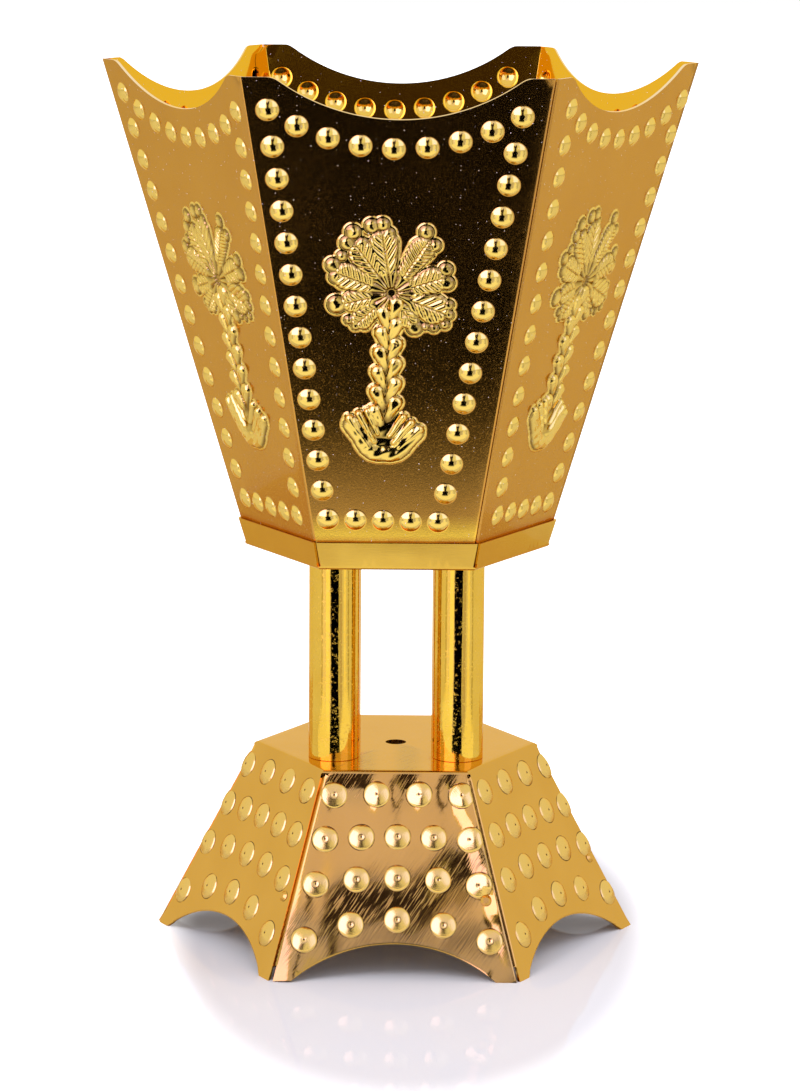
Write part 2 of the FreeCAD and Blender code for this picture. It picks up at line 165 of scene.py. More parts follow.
def inside(points, outline):
    """Which points lie inside a closed outline."""
    odd = np.zeros(len(points), bool)
    for a, b in zip(outline, outline[1:] + outline[:1]):
        if a[1] == b[1]:
            continue
        spans = (a[1] > points[:, 1]) != (b[1] > points[:, 1])
        reach = a[0] + (points[:, 1] - a[1]) * (b[0] - a[0]) / (b[1] - a[1])
        odd ^= spans & (points[:, 0] < reach)
    return odd


def cut_pattern(outline, creases, holes, points):
    """Flat sheet inside an outline, joined by triangles through the given points and creases."""
    corners = list(outline)
    edges = [(i, (i + 1) % len(outline)) for i in range(len(outline))]
    for hole in holes:
        first = len(corners)
        corners += hole
        edges += [(first + i, first + (i + 1) % len(hole)) for i in range(len(hole))]
    for crease in creases:
        first = len(corners)
        corners += crease
        edges += [(first + i, first + i + 1) for i in range(len(crease) - 1)]
    corners += points
    found = geometry.delaunay_2d_cdt([Vector(p) for p in corners], edges, [], 0, least_gap, True)
    flat = np.array([tuple(v) for v in found[0]])
    faces = np.array(found[2])
    a, b, c = (flat[faces[:, i]] for i in range(3))
    spans = np.abs((b - a)[:, 0] * (c - a)[:, 1] - (b - a)[:, 1] * (c - a)[:, 0])
    middles = flat[faces].mean(axis=1)
    at_edge = np.array([any(i < len(outline) for i in start) for start in found[3]])
    keep = inside(middles, outline) & ((spans > least_triangle) | ~at_edge[faces].all(axis=1))
    for hole in holes:
        keep &= ~inside(middles, hole)
    return flat, faces[keep]


def new_piece(name, places, faces):
    """Mesh object from places in millimetres."""
    mesh = bpy.data.meshes.new(name)
    mesh.from_pydata((np.asarray(places) * mm).tolist(), [], np.asarray(faces).tolist())
    piece = bpy.data.objects.new(name, mesh)
    bpy.context.scene.collection.objects.link(piece)
    return piece


def only(piece):
    bpy.ops.object.select_all(action="DESELECT")
    piece.select_set(True)
    bpy.context.view_layer.objects.active = piece


def written(piece, values_by_name):
    """Writes values at the points of a piece as attributes that its finish reads."""
    for name, values in values_by_name.items():
        spread = piece.data.attributes.new(name, "FLOAT", "POINT")
        spread.data.foreach_set("value", values.astype(np.float32))


def joined(pieces, name):
    """One piece made of several."""
    only(pieces[0])
    for piece in pieces:
        piece.select_set(True)
    bpy.ops.object.join()
    pieces[0].name = name
    pieces[0].data.name = name
    return pieces[0]


def thickened(piece, sheet, low, high, smooth_angle):
    """Doubles merged, the sheet's thickness added inwards, and its edges cut level between two heights."""
    only(piece)
    bpy.ops.object.mode_set(mode="EDIT")
    bpy.ops.mesh.select_all(action="SELECT")
    bpy.ops.mesh.remove_doubles(threshold=merge_gap * mm)
    bpy.ops.mesh.delete_loose()
    bpy.ops.object.mode_set(mode="OBJECT")
    wall = piece.modifiers.new("sheet", "SOLIDIFY")
    wall.thickness = sheet * mm
    wall.offset = -1
    bpy.ops.object.modifier_apply(modifier=wall.name)
    bpy.ops.object.mode_set(mode="EDIT")
    for level, up in ((low, -1), (high, 1)):
        bpy.ops.mesh.select_all(action="SELECT")
        bpy.ops.mesh.bisect(plane_co=(0, 0, level * mm), plane_no=(0, 0, up), use_fill=True, clear_outer=True,
                            threshold=level_cut_gap * mm)
    bpy.ops.object.mode_set(mode="OBJECT")
    bpy.ops.object.shade_smooth_by_angle(angle=math.radians(smooth_angle))


def bowl_half_width(rise):
    return (bowl_bottom_circumradius + rise / bowl_slant * (rim_circumradius - bowl_bottom_circumradius)) / 2


bowl_height = rim_level - bowl_low
bowl_slant = math.hypot(bowl_height, (rim_circumradius - bowl_bottom_circumradius) * corner_cos)
bowl_sizes = (bowl_bottom_circumradius, bowl_low, rim_circumradius, rim_level)
bowl_lap_turn = lap_turn(*bowl_sizes)
scallop_radius = (scallop_half_span ** 2 + scallop_depth ** 2) / (2 * scallop_depth)
scallop_centre = (0.0, bowl_slant - scallop_depth + scallop_radius)
bead_ball_radius = (bead_radius ** 2 + bead_height ** 2) / (2 * bead_height)

# The lap fold runs along the panel's right corner line, inside it by the next sheet's thickness.
corner_line = np.array([bowl_half_width(bowl_slant) - bowl_half_width(0), bowl_slant])
corner_line /= np.linalg.norm(corner_line)
lap_across = np.array([corner_line[1], -corner_line[0]])
lap_inset = (bowl_sheet + lap_gap) / math.sin(bowl_lap_turn) + bend_radius * math.tan(bowl_lap_turn / 2)
lap_start = np.array([bowl_half_width(0), 0.0]) - lap_inset * lap_across
lap_bend = bend_radius * bowl_lap_turn
lap_reach = lap_bend + bowl_tab_width - bend_radius


def lap_point(beyond, rise):
    """Point of the flat pattern at a distance across the lap's bend line and a height up the panel."""
    at = lap_start + beyond * lap_across
    return tuple(at + corner_line * (rise - at[1]) / corner_line[1])


def bowl_outline():
    """Panel from its lower left corner round its lap tab, its scalloped rim and back."""
    top = bowl_slant
    shoulder_rise = top - scallop_shoulder_radius
    shoulder_x = math.sqrt((scallop_radius + scallop_shoulder_radius) ** 2
                           - (scallop_centre[1] - shoulder_rise) ** 2)
    touch = math.degrees(math.atan2(scallop_centre[1] - shoulder_rise, -shoulder_x))
    lean = math.degrees(math.atan2(shoulder_rise - scallop_centre[1], shoulder_x))
    right = arc((shoulder_x, shoulder_rise), scallop_shoulder_radius, 90, touch, 8)
    hollow = arc(scallop_centre, scallop_radius, lean, -180 - lean, 60)[1:-1]
    left = [(-x, y) for x, y in reversed(right)]
    tab_top = top - bowl_tab_top_gap
    sides = [
        (-bowl_half_width(0), 0.0),
        lap_point(lap_reach, 0.0),
        lap_point(lap_reach, tab_top - bowl_tab_corner_falls[0]),
        lap_point(lap_reach - bowl_tab_corner_insets[0], tab_top - bowl_tab_corner_falls[1]),
        lap_point(lap_reach - bowl_tab_corner_insets[1], tab_top - bowl_tab_corner_falls[2]),
        lap_point(lap_bend, tab_top),
        lap_point(lap_bend, top),
    ]
    rim = right + hollow + left
    left_edge = stepped([(-bowl_half_width(top), top), (-bowl_half_width(0), 0.0)], edge_step)[:-1]
    return stepped(sides, edge_step) + rim + left_edge


def bead_places():
    """Centres of the beads: an arc under the rim, a column at each side, a row at the foot."""
    places = []
    arc_radius = scallop_radius + bead_arc_offset
    arc_reach = math.asin(bead_arc_span_share * bowl_half_width(bowl_slant) / arc_radius)
    for angle in np.linspace(-arc_reach, arc_reach, bead_arc_count):
        places.append((arc_radius * math.sin(angle), scallop_centre[1] - arc_radius * math.cos(angle)))
    for share in np.linspace(0, 1, bead_column_count):
        rise = bowl_slant * (bead_column_shares[0] + share * (bead_column_shares[1] - bead_column_shares[0]))
        inset = bead_column_insets[0] + share * (bead_column_insets[1] - bead_column_insets[0])
        places += [(sign * (bowl_half_width(rise) - inset), rise) for sign in (-1, 1)]
    rise = bead_row_rise_share * bowl_slant
    reach = bead_row_span_share * bowl_half_width(rise)
    return places + [(x, rise) for x in np.linspace(-reach, reach, bead_row_count)]


def ramp(value, low, high):
    """0 below low, 1 above high, and smooth between them."""
    share = np.clip((value - low) / (high - low), 0, 1)
    return share * share * (3 - 2 * share)


def strip_gap(x, y, start, end, start_radius, end_radius):
    """Distance outside a tapered strip with round ends, negative inside it."""
    run = np.subtract(end, start)
    share = np.clip(((x - start[0]) * run[0] + (y - start[1]) * run[1]) / (run @ run), 0, 1)
    gap = np.hypot(x - start[0] - share * run[0], y - start[1] - share * run[1])
    return gap - (start_radius + share * (end_radius - start_radius))


def dome(gap, width):
    """Round-edged rise from 0 at an outline to 1 at a width inside it."""
    return np.sqrt(1 - (1 - np.clip(-gap / width, 0, 1)) ** 2)


sway_waves = 5
sway_lengths = (0.7, 1.6)
sway_phase = 6.3


def sway(flat, seed, length):
    """Slight hollows and swells left in sheet that was pressed, between -1 and 1."""
    rng = np.random.default_rng(seed)
    height = np.zeros(len(flat))
    for wave in range(sway_waves):
        way = rng.uniform(-1, 1, 2)
        way /= np.linalg.norm(way) * length * rng.uniform(*sway_lengths)
        height += np.sin(2 * math.pi * (flat @ way) + rng.uniform(0, sway_phase)) / sway_waves
    return height


# Palm tree, in millimetres from the heart of its crown: fronds by angle, length, half width at the
# tip, spacing and slant of their leaflets, round leaf ends, knots of the trunk, flutes of the planter.
palm_heart = (0.5, 90.6)
fronds = [
    (126.0, 19.5, 4.4, 2.1, 0.9),
    (100.0, 20.0, 4.6, 2.6, 1.2),
    (58.0, 20.5, 4.0, 1.35, 0.55),
    (19.0, 17.0, 4.3, 1.8, 0.6),
    (-21.0, 18.5, 5.0, 2.4, 0.9),
    (-57.0, 13.0, 3.0, 2.4, 1.1),
    (-135.0, 15.5, 3.6, 1.5, 0.5),
    (-165.0, 15.5, 3.6, 1.9, 0.7),
    (160.0, 18.5, 4.4, 1.8, 0.6),
]
frond_root_radius = 1.5
leaf_ends = [
    (-11.9, 18.9, 2.5), (-13.5, 15.4, 2.4), (-9.0, 15.6, 1.9),
    (-6.4, 21.0, 2.4), (-3.2, 21.6, 2.2), (-1.2, 18.9, 1.9), (-0.6, 15.9, 1.5),
    (9.8, 19.5, 2.3), (12.4, 15.4, 2.1),
    (16.0, 7.9, 2.2), (16.4, 3.6, 2.4),
    (17.2, -3.4, 1.7), (17.4, -6.6, 1.6), (16.2, -9.7, 1.6), (13.0, -10.9, 1.5), (10.4, -10.6, 1.3),
    (7.2, -11.0, 2.5),
    (-12.6, -9.0, 1.5), (-10.4, -10.8, 1.6), (-7.7, -10.9, 1.4),
    (-16.2, -4.2, 3.0),
    (-17.6, 8.4, 2.4), (-16.6, 4.6, 2.3), (-15.0, 11.2, 1.8),
]
trunk_top = (-0.3, -7.2)
trunk_end = (-1.0, -39.0)
trunk_half_widths = (3.3, 5.2)
trunk_knot_rows = 6
knot_low = (0.06, -4.6)
knot_high = (0.60, 2.2)
knot_radii = (1.2, 2.2)
planter_flutes = [
    ((-11.6, -40.9), (-5.4, -49.8), 1.5, 1.2),
    ((-8.7, -39.4), (-3.9, -48.2), 1.3, 1.0),
    ((-6.2, -38.4), (-2.9, -45.6), 1.2, 0.9),
    ((9.6, -44.0), (3.6, -50.0), 1.6, 1.2),
    ((7.1, -41.9), (1.9, -48.4), 1.4, 1.0),
    ((4.7, -40.0), (0.6, -46.2), 1.3, 0.9),
]
planter_lip = [
    (-10.6, -43.0), (-8.9, -45.2), (-7.5, -47.0), (-6.7, -48.8), (-5.6, -50.4), (-4.1, -51.6), (-2.4, -52.0),
    (-0.8, -51.8), (1.0, -52.0), (2.8, -51.5), (4.3, -50.2), (5.5, -48.4), (6.8, -46.7), (8.1, -45.2),
]
planter_lip_radius = 3.1
planter_cup = [((-5.6, -45.0), (4.0, -45.0), 3.4, 3.4), ((-3.6, -49.4), (1.6, -49.4), 3.6, 3.6)]
palm_height = 1.3
palm_root_height = 1.0
outline_height = 0.35
outline_width = 0.7
frond_round_width = 1.6
leaflet_share = 0.45
midrib_share = 0.8
midrib_half_width = 0.3
finger_count = 6.5
knot_height = 1.9
knot_round_width = 2.0
planter_heights = (0.9, 1.5, 1.7)
relief_waver = 0.16
relief_waver_length = 4.0
crown_middle = (5.5, 7.5)
crown_eye = (0.8, 2.4)
finger_share = 0.75
ball_share = 0.55
ball_growth_radius = 6.0
ball_power = 0.65
knot_foot_share = 0.35


def trunk_knots():
    """Plump leaf stumps of the trunk in pairs, each from its low inner end to its high outer end."""
    knots = []
    for row in range(trunk_knot_rows):
        share = row / (trunk_knot_rows - 1)
        x = trunk_top[0] + share * (trunk_end[0] - trunk_top[0])
        y = trunk_top[1] + share * (trunk_end[1] - trunk_top[1])
        half = trunk_half_widths[0] + share * (trunk_half_widths[1] - trunk_half_widths[0])
        for sign, drop in ((-1, -1.4), (1, 1.4)):
            low = (x + sign * knot_low[0] * half, y + drop + knot_low[1])
            high = (x + sign * knot_high[0] * half, y + drop + knot_high[1])
            knots.append((low, high) + knot_radii)
    return knots


palm_knots = trunk_knots()
palm_lip = [(a, b, planter_lip_radius, planter_lip_radius) for a, b in zip(planter_lip, planter_lip[1:])]


def frond_strip(frond):
    """A frond as a tapered strip from the heart to the middle of its tip."""
    angle, length, tip = frond[:3]
    way = (math.cos(math.radians(angle)), math.sin(math.radians(angle)))
    return (0.0, 0.0), ((length - tip) * way[0], (length - tip) * way[1]), frond_root_radius, tip


def palm_gap(x, y):
    """Distance outside the whole palm tree's outline, negative inside it."""
    gaps = [np.hypot(x - a, y - b) - r for a, b, r in leaf_ends]
    strips = [frond_strip(frond) for frond in fronds] + palm_knots + planter_flutes + palm_lip + planter_cup
    gaps += [strip_gap(x, y, *strip) for strip in strips]
    return np.min(gaps, axis=0)


def palm_rise(x, y):
    """Height of the palm tree's relief over the sheet."""
    height = outline_height * (1 - ramp(palm_gap(x, y), outline_width - 0.3, outline_width))
    for frond in fronds:
        angle, length, tip, pitch, slant = frond
        way = (math.cos(math.radians(angle)), math.sin(math.radians(angle)))
        s = x * way[0] + y * way[1]
        t = -x * way[1] + y * way[0]
        strip = strip_gap(x, y, *frond_strip(frond))
        phase = (s - slant * np.abs(t)) / pitch + (t > 0) * 0.5
        leaflet = np.sqrt(1 - (2 * (phase - np.floor(phase)) - 1) ** 2)
        leaflet *= 1 - midrib_share * np.exp(-(t / midrib_half_width) ** 2)
        body = palm_height * dome(strip, frond_round_width) * (1 - leaflet_share + leaflet_share * leaflet)
        height = np.maximum(height, body)
    around = np.arctan2(y, x)
    out = np.hypot(x, y)
    fingers = np.abs(np.cos(finger_count * around + 0.5 * np.sin(3 * around)))
    root = palm_root_height * (1 - finger_share + finger_share * np.sqrt(fingers)) * ramp(out, *crown_eye)
    middle = 1 - ramp(out, *crown_middle)
    height = height * (1 - middle) + middle * np.maximum(root, 0.1)
    for a, b, r in leaf_ends:
        ball = np.clip(1 - ((x - a) ** 2 + (y - b) ** 2) / r ** 2, 0, 1)
        height = np.maximum(height, palm_height * (ball_share + r / ball_growth_radius) * ball ** ball_power)
    for strip in palm_knots:
        swollen = knot_foot_share + (1 - knot_foot_share) * ramp(y, strip[0][1], strip[1][1])
        height = np.maximum(height, knot_height * swollen * dome(strip_gap(x, y, *strip), knot_round_width))
    for strips, top in zip((planter_cup, palm_lip, planter_flutes), planter_heights):
        for strip in strips:
            height = np.maximum(height, top * dome(strip_gap(x, y, *strip), max(strip[2:])))
    uneven = sway(np.column_stack([x, y]), 11, relief_waver_length)
    return height * (1 + relief_waver * uneven)


def die_moved(points, side, back=False):
    """Places of the die on a panel: turned about the palm's heart and shifted along, or the reverse."""
    turn = math.radians(-press_tilts[side] if back else press_tilts[side])
    spin = np.array([[math.cos(turn), -math.sin(turn)], [math.sin(turn), math.cos(turn)]])
    centre = np.array([0.0, palm_heart[1]])
    shift = np.array([press_shifts[side], 0.0])
    if back:
        return (points - shift - centre) @ spin.T + centre
    return (points - centre) @ spin.T + centre + shift


def bead_rise(flat, places):
    """Height of the round beads over the sheet."""
    height = np.zeros(len(flat))
    for a, b in places:
        out = np.hypot(flat[:, 0] - a, flat[:, 1] - b)
        cap = np.sqrt(np.maximum(bead_ball_radius ** 2 - out ** 2, 0)) - bead_ball_radius + bead_height
        height = np.maximum(height, cap)
    return height


def ring_lines(places, radius, shares, count):
    """Closed rings round pressed places, as creases of the flat pattern."""
    rings = []
    for a, b in places:
        for number, share in enumerate(shares):
            turn = 180 * number / count
            rings.append(arc((a, b), radius * share, turn, turn + 360, count + 1)[:-1])
            rings[-1].append(rings[-1][0])
    return rings


bead_ring_shares = (0.3, 0.58, 0.8, 0.93, 1.0, 1.07, 1.14)
bead_ring_count = 24
palm_step = 0.27
sheet_step = 3.2
sheet_sway = 0.10
recess_low = 0.55
recess_high = 1.2
table_reflection_low = 10.5
table_reflection_high = 18.5
bowl_grid_low = (-46, 2)
bowl_grid_high = (44, 155)
bead_clear = 4.6
palm_clear = 1.8
scallop_clear = 1.5
bowl_edge_clear = 3.0
palm_grid_low = (-21.5, -57.0)
palm_grid_high = (21.5, 26.0)
palm_grid_beyond = 0.45
row_share = 0.866
crease_end_gap = 0.4
lap_crease_step = 4.0


def palm_grid():
    """Fine points over the palm tree, in the die's own places."""
    xs = np.arange(palm_grid_low[0], palm_grid_high[0], palm_step)
    ys = np.arange(palm_grid_low[1], palm_grid_high[1], palm_step * row_share)
    x, y = np.meshgrid(xs, ys)
    x = x + (np.arange(len(ys)) % 2)[:, None] * palm_step / 2
    near = palm_gap(x, y) < outline_width + palm_grid_beyond
    return np.column_stack([x[near], y[near]]) + np.array(palm_heart)


def coarse_grid(low, high, step):
    x, y = np.meshgrid(np.arange(low[0], high[0], step), np.arange(low[1], high[1], step))
    return np.column_stack([x.ravel() + (y.ravel() / step % 2 > 1) * step / 2, y.ravel()])


palm_points = palm_grid()
bowl_panels = []
for side, side_name in enumerate(side_names):
    beads = [tuple(p) for p in die_moved(np.array(bead_places()), side)]
    inner = coarse_grid(bowl_grid_low, bowl_grid_high, sheet_step)
    beside = np.min([np.hypot(inner[:, 0] - a, inner[:, 1] - b) for a, b in beads], axis=0)
    local = die_moved(inner, side, back=True) - np.array(palm_heart)
    room = bowl_half_width(inner[:, 1]) - np.abs(inner[:, 0]) > bowl_edge_clear
    room &= np.hypot(inner[:, 0], inner[:, 1] - scallop_centre[1]) > scallop_radius + scallop_clear
    inner = inner[room & (beside > bead_clear) & (palm_gap(local[:, 0], local[:, 1]) > palm_clear)]
    spread = np.concatenate([die_moved(palm_points, side), inner])
    points = beads + [tuple(p) for p in spread]
    creases = ring_lines(beads, bead_radius, bead_ring_shares, bead_ring_count)
    for share in np.linspace(0, 1, 6):
        ends = [lap_point(share * lap_bend, rise) for rise in (crease_end_gap, bowl_slant - crease_end_gap)]
        creases.append(stepped(ends, lap_crease_step))
    flat, faces = cut_pattern(bowl_outline(), creases, [], points)
    die = die_moved(flat, side, back=True) - np.array(palm_heart)
    flatness = ramp(bowl_half_width(flat[:, 1]) - np.abs(flat[:, 0]), 2.0, 12.0)
    rise = np.maximum(bead_rise(flat, beads), palm_rise(die[:, 0], die[:, 1]))
    shine = ramp(rise, 0.02, 0.2)
    # Painted shade: the low parts inside the palm's outline, between its raised parts, are marked to be
    # darkened.
    hollow = shine * (1 - ramp(rise, recess_low, recess_high)) * (palm_gap(die[:, 0], die[:, 1]) < 0)
    swell = sheet_sway * sway(flat, side + 1, 55.0) * flatness * ramp(flat[:, 1], 0.0, 10.0)
    swell *= ramp(bowl_slant - flat[:, 1], 0.0, 14.0)
    bent, depth = folded(flat, rise + swell, lap_start, lap_across, bowl_lap_turn, bend_radius, True)
    panel = new_piece("bowl_sheet_" + side_name, laid(bent, depth, wall_axes(side, *bowl_sizes)), faces)
    # Painted reflection: the front panel's lowest part is marked for a brighter gold, standing in for the lit
    # table that it mirrors.
    table_reflection = (1 - ramp(flat[:, 1], table_reflection_low, table_reflection_high)) * (side_name == "front")
    written(panel, {"pressed": shine, "hollow": hollow, "table_reflection": table_reflection})
    thickened(panel, bowl_sheet, bowl_low, rim_level, 55)
    bowl_panels.append(panel)


def linear(colour):
    """An sRGB hex colour as linear red, green, blue and alpha."""
    parts = [int(colour[i:i + 2], 16) / 255 for i in (1, 3, 5)]
    return [c / 12.92 if c <= 0.04045 else ((c + 0.055) / 1.055) ** 2.4 for c in parts] + [1.0]


def node(tree, kind, inputs, **settings):
    """Adds a shader node with its settings, and fills its sockets with values or links."""
    made = tree.nodes.new("ShaderNode" + kind)
    for name, value in settings.items():
        setattr(made, name, value)
    for name, value in inputs.items():
        if isinstance(value, bpy.types.NodeSocket):
            tree.links.new(value, made.inputs[name])
        else:
            made.inputs[name].default_value = value
    return made


def new_material(name):
    """Empty material with its shader and Object coordinates."""
    material = bpy.data.materials.new(name)
    material.use_nodes = True
    tree = material.node_tree
    tree.nodes.clear()
    shader = node(tree, "BsdfPrincipled", {})
    output = node(tree, "OutputMaterial", {"Surface": shader.outputs["BSDF"]})
    output.is_active_output = True
    place = node(tree, "TexCoord", {}).outputs["Object"]
    return material, tree, shader, place


def gilded(tree, shader, colour, roughness, bump):
    """Sets a gold plated finish: its colour, roughness and relief under a thin clear lacquer."""
    for name, socket in (("Base Color", colour), ("Roughness", roughness), ("Normal", bump)):
        tree.links.new(socket, shader.inputs[name])
    shader.inputs["Metallic"].default_value = 1.0
    shader.inputs["Specular Tint"].default_value = linear(gold_edge_colour)
    shader.inputs["Coat Weight"].default_value = lacquer_weight


def per_mm(size):
    """Scale of a pattern whose cells measure a size in millimetres."""
    return 1 / (size * mm)


# Gold plated brass sheet, left as rolled and lightly etched: satin, with a fine sandy grain that
# breaks up reflections, dust specks, and orange brown heat stains along the soldered foot.
bowl_colour = "#CB963E"
bowl_deep_colour = "#BF8733"
bead_colour = "#EAC75F"
inner_colour = "#E8B01C"
cut_edge_highlight_colour = "#F6DDB0"
gold_edge_colour = "#FFE2A4"
lacquer_weight = 0.25
bowl_stain_colour = "#A84A18"
dust_colour = "#E9DCC0"
grain_size = 0.55
grain_depth = 0.012
cloud_size = 26.0
dust_spacing = 1.3
sand_size = 0.5
sand_roughness_low = 0.24
sand_roughness_top = 0.06
inner_roughness = 0.07
bead_roughness = 0.11
solder_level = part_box("collar_tray")[1].z / mm
stain_reach = 2.4
table_reflection_colour = "#F2C544"
hollow_shade_colour = "#6E4B16"
ragged_size = 9.0
dust_roughness = 0.75
highlight_facing_level = 0.62
sandy_from_rise = 30.0

bowl_metal, tree, shader, place = new_material("satin_gold_plate")
grain = node(tree, "TexNoise", {"Vector": place, "Scale": per_mm(grain_size), "Detail": 2.0})
cloud = node(tree, "TexNoise", {"Vector": place, "Scale": per_mm(cloud_size), "Detail": 3.0})
cells = node(tree, "TexVoronoi", {"Vector": place, "Scale": per_mm(dust_spacing)})
pick = node(tree, "SeparateColor", {"Color": cells.outputs["Color"]})
limit = node(tree, "MapRange", {"Value": pick.outputs[0], "From Min": 0.35, "From Max": 1.0,
                                "To Min": 0.0, "To Max": 0.13})
dust = node(tree, "Math", {0: cells.outputs["Distance"], 1: limit.outputs[0]}, operation="LESS_THAN")
height = node(tree, "SeparateXYZ", {"Vector": place})
ragged = node(tree, "TexNoise", {"Vector": place, "Scale": per_mm(ragged_size), "Detail": 4.0,
                                 "Roughness": 0.6})
climb = node(tree, "MapRange", {"Value": height.outputs["Z"], "From Min": solder_level * mm,
                                "From Max": (solder_level + stain_reach) * mm, "To Min": 1.3, "To Max": 0.0})
stain = node(tree, "Math", {0: climb.outputs[0], 1: ragged.outputs["Fac"]}, operation="MULTIPLY")
# Painted reflection of the lit table on the front panel's foot.
table_reflection = node(tree, "Attribute", {}, attribute_name="table_reflection")
pressed = node(tree, "Attribute", {}, attribute_name="pressed")
# Painted shade in the palm's low parts.
hollow = node(tree, "Attribute", {}, attribute_name="hollow")
hollow = node(tree, "MapRange", {"Value": hollow.outputs["Fac"], "To Max": 0.85})
level = node(tree, "Mapping", {"Vector": place, "Scale": (1.0, 1.0, 0.0)})
facing = node(tree, "VectorMath", {0: level.outputs[0], 1: node(tree, "NewGeometry", {}).outputs["Normal"]},
              operation="DOT_PRODUCT")
inner = node(tree, "Math", {0: facing.outputs["Value"], 1: 0.0}, operation="LESS_THAN")
plain = node(tree, "MapRange", {"Value": pressed.outputs["Fac"], "To Min": 1.0, "To Max": 0.35})
plain = node(tree, "Math", {0: plain.outputs[0], 1: inner.outputs[0]}, operation="MULTIPLY")
# Painted highlight: faces that turn up past a level, mostly the rim's cut edge, get a pale cream colour;
# partly the raw brass of the cut, partly a painted highlight.
turned = node(tree, "SeparateXYZ", {"Vector": node(tree, "NewGeometry", {}).outputs["True Normal"]})
level = node(tree, "Math", {0: turned.outputs["Z"], 1: pressed.outputs["Fac"]}, operation="SUBTRACT")
cut = node(tree, "Math", {0: level.outputs[0], 1: highlight_facing_level}, operation="GREATER_THAN")
tone = node(tree, "Mix", {0: cloud.outputs["Fac"], 6: linear(bowl_colour), 7: linear(bowl_deep_colour)},
            data_type="RGBA")
# Colours laid over the tone: painted reflection on the front panel's foot, pressed beads and palm, painted
# shade in the palm's low parts, the inside, the cut edge with its painted highlight, heat stains and dust.
for share, over in ((table_reflection.outputs["Fac"], table_reflection_colour), (pressed.outputs["Fac"], bead_colour),
                    (hollow.outputs[0], hollow_shade_colour), (plain.outputs[0], inner_colour),
                    (cut.outputs[0], cut_edge_highlight_colour), (stain.outputs[0], bowl_stain_colour),
                    (dust.outputs[0], dust_colour)):
    tone = node(tree, "Mix", {0: share, 6: tone.outputs[2], 7: linear(over)}, data_type="RGBA")
gloss = node(tree, "MapRange", {"Value": cloud.outputs["Fac"], "To Min": 0.12, "To Max": 0.19})
sand = node(tree, "TexNoise", {"Vector": place, "Scale": per_mm(sand_size), "Detail": 3.0,
                               "Roughness": 0.7})
deep = node(tree, "MapRange", {"Value": height.outputs["Z"], "From Min": (bowl_low + sandy_from_rise) * mm,
                               "From Max": rim_level * mm, "To Min": sand_roughness_low,
                               "To Max": sand_roughness_top})
sandy = node(tree, "MapRange", {"Value": sand.outputs["Fac"], "From Min": 0.5, "From Max": 0.75,
                                "To Min": 0.0, "To Max": deep.outputs[0]})
rough = node(tree, "Math", {0: gloss.outputs[0], 1: sandy.outputs[0]}, operation="ADD")
outer = node(tree, "Mix", {0: inner.outputs[0], 2: rough.outputs[0], 3: inner_roughness})
burnished = node(tree, "Mix", {0: pressed.outputs["Fac"], 2: outer.outputs[0], 3: bead_roughness})
dull = node(tree, "Mix", {0: dust.outputs[0], 2: burnished.outputs[0], 3: dust_roughness})
smooth = node(tree, "Math", {0: pressed.outputs["Fac"], 1: inner.outputs[0]}, operation="MAXIMUM")
calm = node(tree, "MapRange", {"Value": smooth.outputs[0], "To Min": 1.0, "To Max": 0.15})
bump = node(tree, "Bump", {"Height": grain.outputs["Fac"], "Distance": grain_depth * mm,
                           "Strength": calm.outputs[0]})
gilded(tree, shader, tone.outputs[2], dull.outputs[0], bump.outputs["Normal"])

for side_name, panel in zip(side_names, bowl_panels):
    panel.data.materials.append(bowl_metal)
    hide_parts("bowl_panel_" + side_name)
    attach(panel, "burner")


# Base: one star shaped brass sheet, its deck and six panels folded down from it, each panel pressed
# with studs, arched at its foot and folded at its left edge into a tab behind the panel before it.
deck_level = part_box("base_shell")[1].z / mm
base_circumradius = 76.7
deck_circumradius = 45.1
base_sheet = 0.8
arch_half_span = 31.5
arch_height = 11.8
base_seam_gap = 0.6
base_tab_width = 8.0
base_tab_end_gap = 5.0
base_tab_top_gap = 3.0
base_tab_corner = 2.0
fold_relief = 0.3
deck_bend_radius = 1.4
deck_hole_radius = 3.3
rod_hole_radius = 2.75
rod_offset = 19.5

stud_radius = 4.1
stud_height = 1.1
stud_step = 0.28
stud_dome_share = 0.93
stud_dome_power = 1.8
punch_depth = 0.25
stud_row_counts = [4, 5, 5, 5]
stud_row_rise_shares = [0.882, 0.671, 0.457, 0.194]
stud_row_crown_shares = [0.03, 0.07, 0.17, 0.55]
stud_row_span_share = 0.81
stud_press_shifts = [0.81, 2.49, 0.61, -0.77, 1.15, -1.61]

arch_radius = (arch_half_span ** 2 + arch_height ** 2) / (2 * arch_height)
arch_turn = math.degrees(math.asin(arch_half_span / arch_radius))
base_run = (base_circumradius - deck_circumradius) * corner_cos
base_slant = math.hypot(deck_level, base_run)
base_sizes = (base_circumradius, 0.0, deck_circumradius, deck_level)
base_lap_turn = lap_turn(*base_sizes)
deck_turn = math.pi / 2 - math.atan2(base_run, deck_level)
deck_setback = deck_bend_radius * math.tan(deck_turn / 2)
deck_fold_rise = base_slant - deck_setback
deck_bend = deck_bend_radius * deck_turn
deck_middle = deck_fold_rise + deck_bend + deck_circumradius * corner_cos - deck_setback


def base_half_width(rise):
    return (base_circumradius + rise / base_slant * (deck_circumradius - base_circumradius)) / 2


